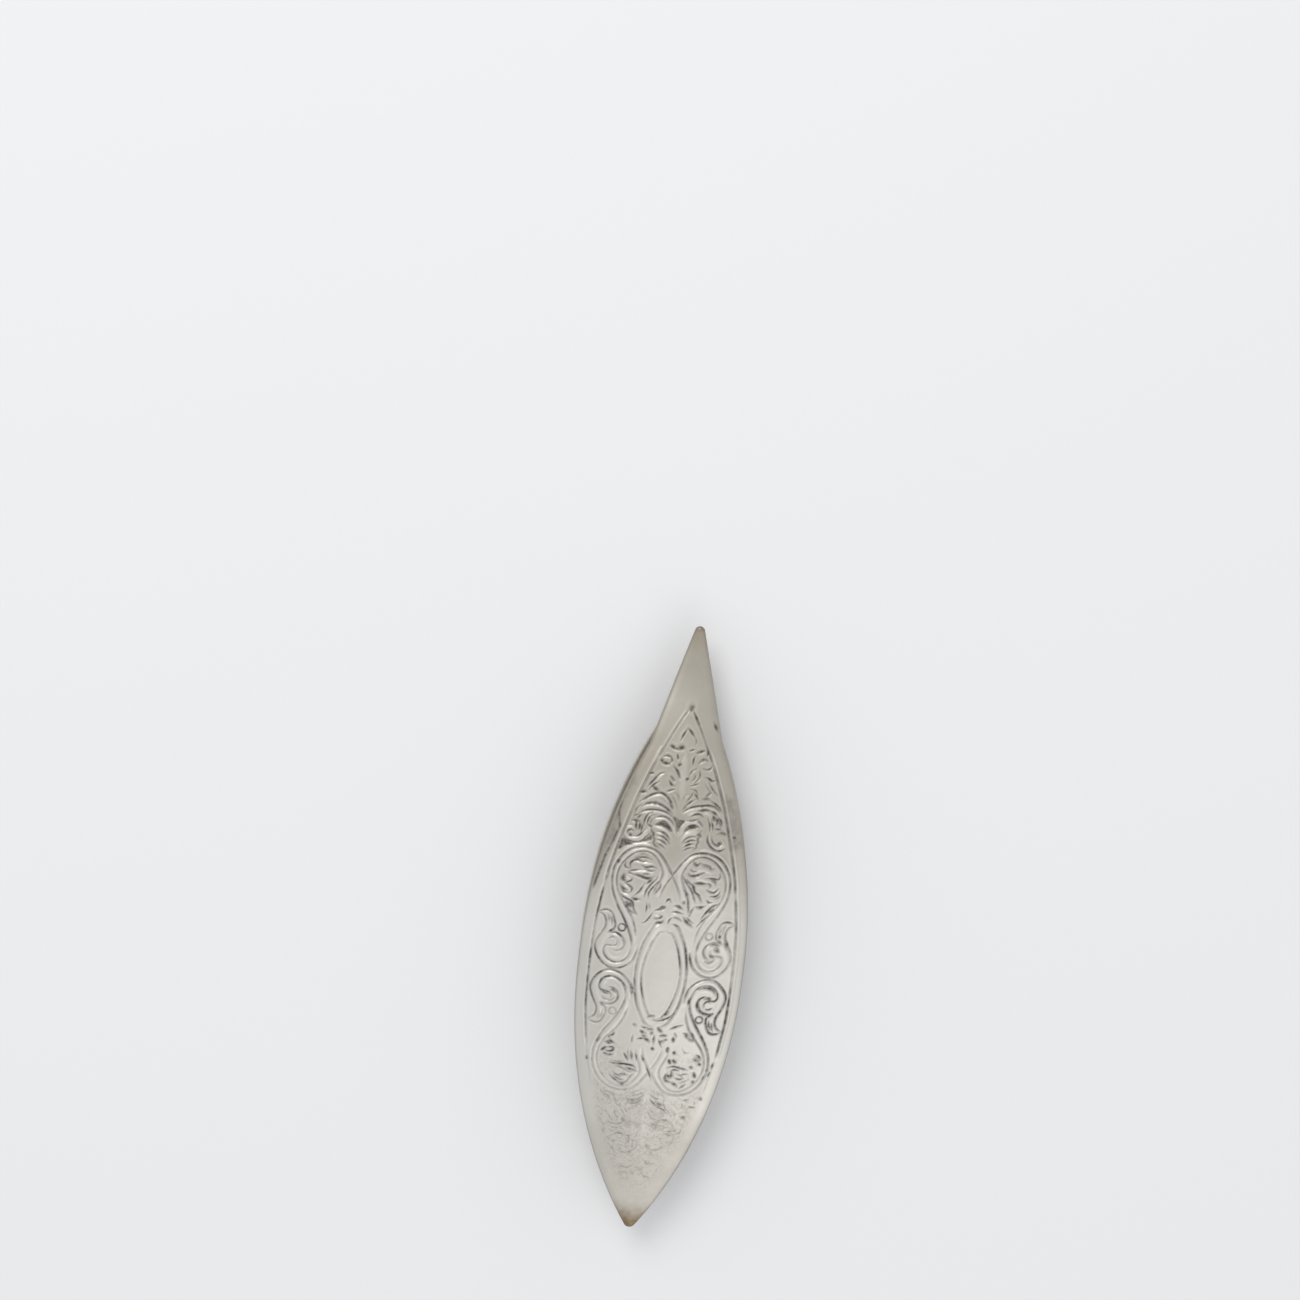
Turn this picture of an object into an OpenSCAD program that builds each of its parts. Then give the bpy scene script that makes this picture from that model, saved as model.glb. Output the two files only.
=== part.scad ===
// Tatting shuttle of sheet metal with a pick.
// Two thin dished blades lie back to back on a post, and thread winds round the post between them.
// X runs across the shuttle, Y along it towards the pick, and Z up through the upper blade.
// The origin is the middle of the thread hole in the post. All sizes are in millimetres.

/* [Blades] */
// Length of each blade from point to point, without the pick
body_length = 81.2; // [70:0.2:90]
// Greatest width of each blade
body_width = 23; // [20:0.2:27]
// Height of the whole shuttle at its middle
body_height = 11; // [9:0.25:14]
// Thickness of the sheet metal
sheet = 0.6; // [0.4:0.05:0.9]
// Rise of a blade across its greatest width, from its edges to its ridge
crown = 2; // [1:0.1:2.6]
// Gap between the two blades at their points
tip_gap = 0.1; // [0.04:0.02:0.4]

/* [Outline] */
// Radius of the nearly straight stretch of each long side
side_radius = 145; // [100:1:200]
// Length of that stretch, half of it on each side of the middle
side_stretch = 5; // [2:0.2:16]
// Radius of each blade's points
point_radius = 0.85; // [0.5:0.05:1.5]

/* [Pick] */
// Length of the pick beyond the upper blade's point
pick_length = 7.7; // [5:0.1:11]
// Distance before the point at which the pick's sides leave the blade's sides
pick_start = 8.9; // [6:0.1:11]
// Radius of the pick's tip
pick_radius = 0.7; // [0.5:0.05:1]
// Distance before the point at which the pick starts to bend level
bend_start = 2.4; // [1.5:0.1:4]

/* [Post] */
// Length of the post along the shuttle
post_length = 14; // [9:0.5:20]
// Width of the post across the shuttle
post_width = 4.5; // [3:0.25:7]
// Diameter of the thread hole through the post
hole_d = 2; // [1.2:0.1:2.6]
// Width and height of the solder fillet where the post meets a blade
solder_leg = 0.7; // [0.4:0.05:1.1]

/* [Hidden] */
$fn = 240;

blade_silver = [0.75, 0.74, 0.70];
post_silver = [0.66, 0.65, 0.61];
solder_grey = [0.58, 0.58, 0.57];

// What cuts run past a surface by
over = 1;
half_width = body_width / 2;
half_length = body_length / 2;
pick_end = half_length + pick_length;

// Outline: each side is an arc of side_radius round the middle that runs on, without a corner,
// in an arc of end_radius to the rounded point. The end arc touches the point's circle from outside.
side_x = half_width - side_radius;
side_angle = asin(side_stretch / 2 / side_radius);
point_y = half_length - point_radius;
end_step = ((side_radius - point_radius) ^ 2 - side_x ^ 2 - point_y ^ 2)
    / (2 * (side_x * cos(side_angle) - point_y * sin(side_angle) + side_radius - point_radius));
end_radius = side_radius - end_step;
end_x = side_x + end_step * cos(side_angle);
end_y = end_step * sin(side_angle);
point_angle = atan2(point_y - end_y, -end_x);
point_join_y = point_y + point_radius * sin(point_angle);

// Half the blade's width at a distance y from the middle, on the end arc
function end_half_width(y) = end_x + sqrt(end_radius ^ 2 - (y - end_y) ^ 2);

// Pick: straight sides run from the blade's sides to where they touch the tip's circle. They start a little
// inside the blade's outline, so that they cross it at the pick's root. The tip is drawn in 24 short steps.
pick_root_y = half_length - pick_start;
pick_root_x = end_half_width(pick_root_y);
pick_tip_y = pick_end - pick_radius;
pick_reach = norm([pick_root_x, pick_tip_y - pick_root_y]);
pick_angle = atan2(pick_root_x, pick_tip_y - pick_root_y) - asin(pick_radius / pick_reach);
pick_base = [pick_root_x + over * tan(pick_angle), pick_root_y - over];
pick_tip_steps = 24;
pick_tip = [
    for (k = [0 : pick_tip_steps])
        let (angle = pick_angle + (180 - 2 * pick_angle) * k / pick_tip_steps)
        [pick_radius * cos(angle), pick_tip_y + pick_radius * sin(angle)]
];

// The three radii are rounded to a hundredth, so that the bend's section falls exactly on the dish's
function hundredths(length) = round(length * 100) / 100;

// Dish: a blade's outer face is an arch of arch_radius across, carried along an arc of dish_radius
arch_radius = hundredths((half_width ^ 2 + crown ^ 2) / (2 * crown));
dish_rise = body_height / 2 - sheet - tip_gap / 2;
dish_radius = hundredths((half_length ^ 2 + dish_rise ^ 2) / (2 * dish_rise) + sheet);
dish_z = body_height / 2 - dish_radius;
dish_angle = asin((half_length + over) / dish_radius);

// Bend: the pick leaves the dish at bend_angle and curves the other way until it lies level at its tip
bend_angle = asin((half_length - bend_start) / dish_radius);
bend_radius = hundredths(pick_end / sin(bend_angle) - dish_radius);
bend_past = asin(over / bend_radius);

// Height of the upper blade's inner face over a point
function under_face_z(x, y) = dish_z
    + sqrt((dish_radius - arch_radius + sqrt((arch_radius - sheet) ^ 2 - x ^ 2)) ^ 2 - y ^ 2);

// Points round the post's outline, each with the direction out of it: both round ends and the sides between
post_run = post_length - post_width;
end_steps = 20;
side_steps = 6;
post_stations = [
    for (end = [1, -1], k = [0 : end_steps + side_steps - 1])
        let (angle = 180 * min(k, end_steps) / end_steps,
            back = post_run * max(k - end_steps, 0) / side_steps,
            out = end * [cos(angle), sin(angle)])
        [out[0] * post_width / 2, end * (post_run / 2 - back) + out[1] * post_width / 2, out[0], out[1]]
];

// Section of the solder as distance out from the post and height over the blade's inner face: a quarter
// circle from the post's side to the blade, then the corner between them
hollow_steps = 5;
solder_section = [
    [0, 0],
    for (k = [0 : hollow_steps]) solder_leg * [1 - cos(90 * k / hollow_steps), sin(90 * k / hollow_steps) - 1]
];

module between_y(low, high) {
    translate([-body_width, low]) square([2 * body_width, high - low]);
}

module two_arcs(radius, x, y) {
    intersection() {
        translate([x, y]) circle(radius);
        translate([-x, y]) circle(radius);
    }
}

// One rounded point of the outline, from the end of the side stretch on
module outline_end() {
    intersection() {
        two_arcs(end_radius, end_x, end_y);
        between_y(side_stretch / 2, point_join_y);
    }
    intersection() {
        translate([0, point_y]) circle(point_radius);
        between_y(point_join_y, half_length + over);
    }
}

module blade_outline() {
    intersection() {
        two_arcs(side_radius, side_x, 0);
        between_y(-side_stretch / 2, side_stretch / 2);
    }
    outline_end();
    mirror([0, 1]) outline_end();
}

module pick_outline() {
    polygon([[-pick_base[0], pick_base[1]], pick_base, each pick_tip]);
}

// Turns what is drawn round the dish's axis, with its radius along X, upright and to the angle given
module on_dish(angle) {
    translate([0, 0, dish_z]) rotate([0, -90, 0]) rotate([0, 0, angle]) children();
}

// Section of the sheet across the shuttle, one side of a ring whose centre lies on X.
// side is 1 where the arch faces away from the axis it turns about and -1 where it faces that axis.
module arch_section(centre, side) {
    depth = 2 * (crown + sheet) + over;
    intersection() {
        translate([centre, 0]) difference() {
            circle(arch_radius);
            circle(arch_radius - sheet);
        }
        translate([centre + side * arch_radius, 0]) square([2 * depth, body_width + over], center = true);
    }
}

// The dished sheet before it is cut to its outline, back from X through the angle given
module dished_sheet(angle) {
    mirror([0, 1, 0]) rotate_extrude(angle = angle) arch_section(dish_radius - arch_radius, 1);
}

// The sheet of the pick, which starts on X where the dished sheet ends and curves away from the dish's axis
module bent_sheet() {
    translate([dish_radius + bend_radius, 0, 0]) mirror([1, 0, 0])
        rotate_extrude(angle = bend_angle + bend_past) arch_section(bend_radius + arch_radius, -1);
}

// Everything under the upper blade's inner face, round the post
module under_blade() {
    angle = asin((post_length / 2 + over) / dish_radius);
    on_dish(-angle) rotate_extrude(angle = 2 * angle) intersection() {
        translate([dish_radius - arch_radius, 0]) circle(arch_radius - sheet);
        translate([dish_radius - body_height, -body_width / 2]) square([body_height, body_width]);
    }
}

module upright(low, high) {
    translate([0, 0, low]) linear_extrude(high - low) children();
}

module post_outline() {
    square([post_width, post_run], center = true);
    for (end = [-1, 1])
        translate([0, end * post_run / 2]) circle(post_width / 2);
}

module upper_blade() {
    color(blade_silver) intersection() {
        on_dish(bend_angle) {
            dished_sheet(bend_angle + dish_angle);
            bent_sheet();
        }
        upright(-body_height, body_height) {
            blade_outline();
            pick_outline();
        }
    }
}

module lower_blade() {
    color(blade_silver) mirror([0, 0, 1]) intersection() {
        on_dish(dish_angle) dished_sheet(2 * dish_angle);
        upright(-over, body_height) blade_outline();
    }
}

module centre_post() {
    color(post_silver) difference() {
        intersection() {
            upright(-body_height, body_height) post_outline();
            under_blade();
            mirror([0, 0, 1]) under_blade();
        }
        rotate([0, 90, 0]) cylinder(d = hole_d, h = post_width + 2 * over, center = true);
    }
}

// Run-in solder: a ring round the post under the upper blade, its section hollow between post and blade
module solder_fillet() {
    ring = len(post_stations);
    side = len(solder_section);
    function corner(i, j) = (i % ring) * side + j % side;
    color(solder_grey) polyhedron(
        points = [for (s = post_stations, q = solder_section)
            let (x = s[0] + q[0] * s[2], y = s[1] + q[0] * s[3]) [x, y, under_face_z(x, y) + q[1]]],
        faces = [for (i = [0 : ring - 1], j = [0 : side - 1], half = [0, 1]) half == 0
            ? [corner(i, j), corner(i, j + 1), corner(i + 1, j + 1)]
            : [corner(i, j), corner(i + 1, j + 1), corner(i + 1, j)]]
    );
}

module solder_fillet_upper() {
    solder_fillet();
}

module solder_fillet_lower() {
    mirror([0, 0, 1]) solder_fillet();
}

upper_blade();
lower_blade();
centre_post();
solder_fillet_upper();
solder_fillet_lower();
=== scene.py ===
import math

import bpy
import numpy as np
from bpy.props import FloatProperty, FloatVectorProperty, PointerProperty
from mathutils import Matrix, Vector


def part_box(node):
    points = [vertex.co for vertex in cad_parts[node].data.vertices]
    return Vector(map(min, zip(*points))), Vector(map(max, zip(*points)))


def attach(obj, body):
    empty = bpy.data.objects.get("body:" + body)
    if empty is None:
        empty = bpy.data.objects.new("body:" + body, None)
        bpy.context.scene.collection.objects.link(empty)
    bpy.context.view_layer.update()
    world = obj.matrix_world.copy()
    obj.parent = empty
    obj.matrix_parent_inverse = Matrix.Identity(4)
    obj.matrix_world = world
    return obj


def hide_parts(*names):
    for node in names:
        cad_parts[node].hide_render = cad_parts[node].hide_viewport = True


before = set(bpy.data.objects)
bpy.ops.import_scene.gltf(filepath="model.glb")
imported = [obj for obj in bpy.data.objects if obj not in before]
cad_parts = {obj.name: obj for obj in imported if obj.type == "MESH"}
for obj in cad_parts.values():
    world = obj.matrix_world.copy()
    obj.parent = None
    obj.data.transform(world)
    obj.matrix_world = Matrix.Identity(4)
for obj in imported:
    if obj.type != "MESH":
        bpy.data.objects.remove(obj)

bl_info = {
    "name": "Tatting shuttle",
    "version": (1, 0, 0),
    "blender": (4, 5, 0),
    "location": "View3D > Sidebar > Shuttle",
    "description": "A chased silver tatting shuttle, dressed over its packed frame",
    "category": "Add Mesh",
}

# Everything is worked out in millimetres and put into the meshes in metres
MM = 0.001

# The frame's boxes give the driving sizes: the lower blade has no pick, so it gives the plain outline
UPPER_HIGH = np.array(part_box("upper_blade")[1]) / MM
LOWER_LOW = np.array(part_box("lower_blade")[0]) / MM
LOWER_HIGH = np.array(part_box("lower_blade")[1]) / MM
HALF_WIDTH = float(LOWER_HIGH[0])
HALF_LENGTH = float(LOWER_HIGH[1])
CREST = float(UPPER_HIGH[2])
PICK_END = float(UPPER_HIGH[1])
TIP_GAP = -2 * float(LOWER_HIGH[2])

# The ornament repeats in the blade's four quarters about this point
ORNAMENT_Y = -0.25

# The ornament's frame is nearly a parabola: its half width at the middle, and how far along it closes
FRAME_WIDTH = 9.95
FRAME_END = 37.4

# The photograph's camera: the tilt towards the pick, the turn of the shuttle in the picture, the distance
# from the picture's middle, the point at the shuttle's mid height that the picture's middle shows, the
# picture's size in pixels, and how many millimetres a pixel shows at that point
CAMERA_TILT = math.radians(15.0)
CAMERA_TURN = math.radians(6.41)
CAMERA_DISTANCE = 436.5
CAMERA_TARGET = Vector((-6.47, 44.33, 0.0))
PICTURE_SIZE = 1300
PICTURE_SCALE = 0.13594


class ShuttleSizes(bpy.types.PropertyGroup):
    """Sizes of the blades."""

    sheet: FloatProperty(
        name="Sheet", description="Thickness of the sheet metal",
        unit="LENGTH", precision=5, default=0.6 * MM, min=0.3 * MM, max=1.0 * MM)
    crown: FloatProperty(
        name="Crown", description="Rise of a blade across its greatest width",
        unit="LENGTH", precision=5, default=2.0 * MM, min=0.5 * MM, max=3.0 * MM)
    side_radius: FloatProperty(
        name="Side radius", description="Radius of the long sides at the middle",
        unit="LENGTH", precision=5, default=145.0 * MM, min=80.0 * MM, max=250.0 * MM)
    side_stretch: FloatProperty(
        name="Side stretch", description="Length of that stretch of each side",
        unit="LENGTH", precision=5, default=5.0 * MM, min=1.0 * MM, max=20.0 * MM)
    point_radius: FloatProperty(
        name="Point radius", description="Radius of the blades' points",
        unit="LENGTH", precision=5, default=0.85 * MM, min=0.3 * MM, max=2.0 * MM)
    pick_start: FloatProperty(
        name="Pick start", description="Distance before the point where the pick's sides start",
        unit="LENGTH", precision=5, default=8.9 * MM, min=5.0 * MM, max=12.0 * MM)
    pick_radius: FloatProperty(
        name="Pick radius", description="Radius of the pick's tip",
        unit="LENGTH", precision=5, default=0.7 * MM, min=0.3 * MM, max=1.5 * MM)
    bend_start: FloatProperty(
        name="Bend start", description="Distance before the point where the pick bends level",
        unit="LENGTH", precision=5, default=2.4 * MM, min=1.0 * MM, max=5.0 * MM)
    edge_round: FloatProperty(
        name="Edge rounding", description="How far in from the edge the sheet is rounded",
        unit="LENGTH", precision=5, default=0.3 * MM, min=0.1 * MM, max=0.5 * MM)
    rim_roll: FloatProperty(
        name="Rim roll", description="How far the polished rim rolls down at its edge",
        unit="LENGTH", precision=5, default=0.16 * MM, min=0.0, max=0.4 * MM)
    rim_roll_width: FloatProperty(
        name="Rim roll width", description="Width of the rim that rolls down",
        unit="LENGTH", precision=5, default=1.0 * MM, min=0.3 * MM, max=2.0 * MM)
    relief: FloatProperty(
        name="Relief", description="How deep the chasing is, as a share of the full depth",
        subtype="FACTOR", default=1.0, min=0.0, max=2.0)


class ShuttleColours(bpy.types.PropertyGroup):
    """Colours of the finishes."""

    silver: FloatVectorProperty(
        name="Silver", description="Polished silver plate", subtype="COLOR", size=3,
        default=(0.66, 0.635, 0.585))
    tarnish: FloatVectorProperty(
        name="Tarnish", description="Thin yellow-brown tarnish", subtype="COLOR", size=3,
        default=(0.425, 0.395, 0.335))
    rust: FloatVectorProperty(
        name="Brown tarnish", description="Thick tarnish at the point and on the pick", subtype="COLOR",
        size=3, default=(0.25, 0.18, 0.105))
    # This colour also paints the shade on the rims and at the edge
    ink: FloatVectorProperty(
        name="Ink", description="Black sulphide in the chased lines", subtype="COLOR", size=3,
        default=(0.055, 0.05, 0.047))
    floor: FloatVectorProperty(
        name="Floor", description="The pale floor", subtype="COLOR", size=3, default=(0.76, 0.76, 0.76))


class BladeForm:
    """Outline and faces of a blade, in millimetres.

    Outline: the half width over y is an arc of side_radius round the middle, then an arc that runs on
    without a corner to the circle of the point; with a pick, straight sides leave that arc at the pick's
    root and run to the circle of the pick's tip.
    Faces: across the shuttle a face is an arch, carried along a big arc, the dish. Past the bend the arch
    is carried along an arc that curves the other way, until it lies level at the pick's end.
    """

    def __init__(self, sizes, has_pick):
        self.sheet = sizes.sheet / MM
        self.has_pick = has_pick
        self.end = PICK_END if has_pick else HALF_LENGTH
        self.side_radius = sizes.side_radius / MM
        self.side_x = HALF_WIDTH - self.side_radius
        self.stretch = sizes.side_stretch / MM / 2
        turn = math.asin(self.stretch / self.side_radius)
        self.point_radius = sizes.point_radius / MM
        self.point_y = HALF_LENGTH - self.point_radius
        step = ((self.side_radius - self.point_radius) ** 2 - self.side_x ** 2 - self.point_y ** 2) / (
            2 * (self.side_x * math.cos(turn) - self.point_y * math.sin(turn)
                 + self.side_radius - self.point_radius))
        self.end_radius = self.side_radius - step
        self.end_x = self.side_x + step * math.cos(turn)
        self.end_y = step * math.sin(turn)
        point_angle = math.atan2(self.point_y - self.end_y, -self.end_x)
        self.point_join = self.point_y + self.point_radius * math.sin(point_angle)
        self.pick_radius = sizes.pick_radius / MM
        self.pick_root = HALF_LENGTH - sizes.pick_start / MM
        self.pick_tip = PICK_END - self.pick_radius
        root_x = self.end_x + math.sqrt(self.end_radius ** 2 - (self.pick_root - self.end_y) ** 2)
        run = self.pick_tip - self.pick_root
        reach = math.hypot(root_x, run)
        self.pick_angle = math.atan2(root_x, run) - math.asin(self.pick_radius / reach)
        self.pick_root_x = root_x
        self.pick_touch = self.pick_tip + self.pick_radius * math.sin(self.pick_angle)
        crown = sizes.crown / MM
        self.arch = (HALF_WIDTH ** 2 + crown ** 2) / (2 * crown)
        rise = CREST - self.sheet - TIP_GAP / 2
        self.dish = (HALF_LENGTH ** 2 + rise ** 2) / (2 * rise) + self.sheet
        self.dish_z = CREST - self.dish
        self.bend_turn = math.asin((HALF_LENGTH - sizes.bend_start / MM) / self.dish)
        self.bend = PICK_END / math.sin(self.bend_turn) - self.dish
        self.bend_y = (self.dish + self.bend) * math.sin(self.bend_turn)
        self.bend_z = self.dish_z + (self.dish + self.bend) * math.cos(self.bend_turn)

    def half_width(self, y):
        """Half the outline's width over each y."""
        far = np.abs(y)
        middle = self.side_x + np.sqrt(self.side_radius ** 2 - far ** 2)
        reach = np.clip(far - self.end_y, 0, self.end_radius)
        sides = self.end_x + np.sqrt(self.end_radius ** 2 - reach ** 2)
        point = np.sqrt(np.clip(self.point_radius ** 2 - (far - self.point_y) ** 2, 0, None))
        width = np.where(far < self.stretch, middle, np.where(far < self.point_join, sides, point))
        if self.has_pick:
            straight = self.pick_root_x - (y - self.pick_root) * math.tan(self.pick_angle)
            tip = np.sqrt(np.clip(self.pick_radius ** 2 - (y - self.pick_tip) ** 2, 0, None))
            pick = np.where(y < self.pick_touch, straight, tip)
            width = np.where(y > self.pick_root, pick, width)
        return width

    def face(self, x, y, depth):
        """Height of the face that lies at the given depth in the sheet, from its outer face."""
        fall = self.arch - np.sqrt((self.arch - depth) ** 2 - x ** 2)
        radius = self.dish - fall
        dished = self.dish_z + np.sqrt(radius ** 2 - np.clip(y, -self.dish / 2, self.dish / 2) ** 2)
        if not self.has_pick:
            return dished
        bent = self.bend_z - np.sqrt((self.bend + fall) ** 2 - (y - self.bend_y) ** 2)
        return np.where(y > radius * math.sin(self.bend_turn), bent, dished)


def along_spline(points, closed=False, step=0.1):
    """Points about a step apart on a smooth curve through the points given.

    Each stretch is the cubic that leaves a point along the line between its two neighbours.
    """
    knots = np.array(points, dtype=float)
    if closed:
        knots = np.vstack([knots[-1], knots, knots[:2]])
    else:
        knots = np.vstack([2 * knots[0] - knots[1], knots, 2 * knots[-1] - knots[-2]])
    pieces = []
    for before, start, stop, after in zip(knots[:-3], knots[1:-2], knots[2:-1], knots[3:]):
        count = max(2, int(np.ceil(np.linalg.norm(stop - start) / step)))
        t = np.arange(count)[:, None] / count
        pieces.append(
            start + t * (stop - before) / 2 + t ** 2 * (before - 2.5 * start + 2 * stop - after / 2)
            + t ** 3 * (1.5 * start - 1.5 * stop + (after - before) / 2))
    pieces.append(knots[-2:-1])
    return np.vstack(pieces)


def circle_points(x, y, radius):
    """Ten points round a circle."""
    count = 10
    turns = 2 * math.pi * np.arange(count) / count
    return list(zip(x + radius * np.cos(turns), y + radius * np.sin(turns)))


def ramp(values, low, high):
    """0 below low, 1 above high, and a straight line from one to the other."""
    return np.clip((values - low) / (high - low), 0, 1)


# Each kind of tool mark: half its width and its depth below the surface, the height of the metal thrown up
# beside it, and how black it is. A band is raised, so its depth is negative. The two kinds with no depth
# paint darkness without chasing: the thin one paints the dark reflection on the left rim and shade near the
# pick's right edge, and the broad one is partly painted shade on the rims and partly smudges in the
# ornament.
MARKS = {
    "line": (0.12, 0.09, 0.035, 0.9),
    "cut": (0.145, 0.11, 0.04, 1.0),
    "heavy": (0.20, 0.13, 0.03, 1.0),
    "fine": (0.105, 0.055, 0.02, 0.55),
    "faint": (0.10, 0.04, 0.015, 0.35),
    "pit": (0.19, 0.09, 0.015, 1.0),
    "pocket": (0.30, 0.13, 0.02, 1.0),
    "hollow": (0.22, 0.12, 0.0, 0.92),
    "painted_shade_line": (0.19, 0.0, 0.0, 0.9),
    "shade": (0.60, 0.0, 0.0, 0.38),
    "band": (0.36, -0.085, 0.0, 0.0),
    "wide": (0.60, -0.06, 0.0, 0.0),
    "thin": (0.24, -0.085, 0.0, 0.0),
}

# In half widths of a mark: how far it is worked out, where its lip stands, and how far its black spreads
MARK_REACH = 3.2
LIP_PLACE = 2.1
INK_SPREAD = 1.1

# A groove as deep as this leaves nothing raised over it, and a band as high as this is rubbed bright
CLEARING_DEPTH = 0.1
BRIGHT_HEIGHT = 0.09

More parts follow.
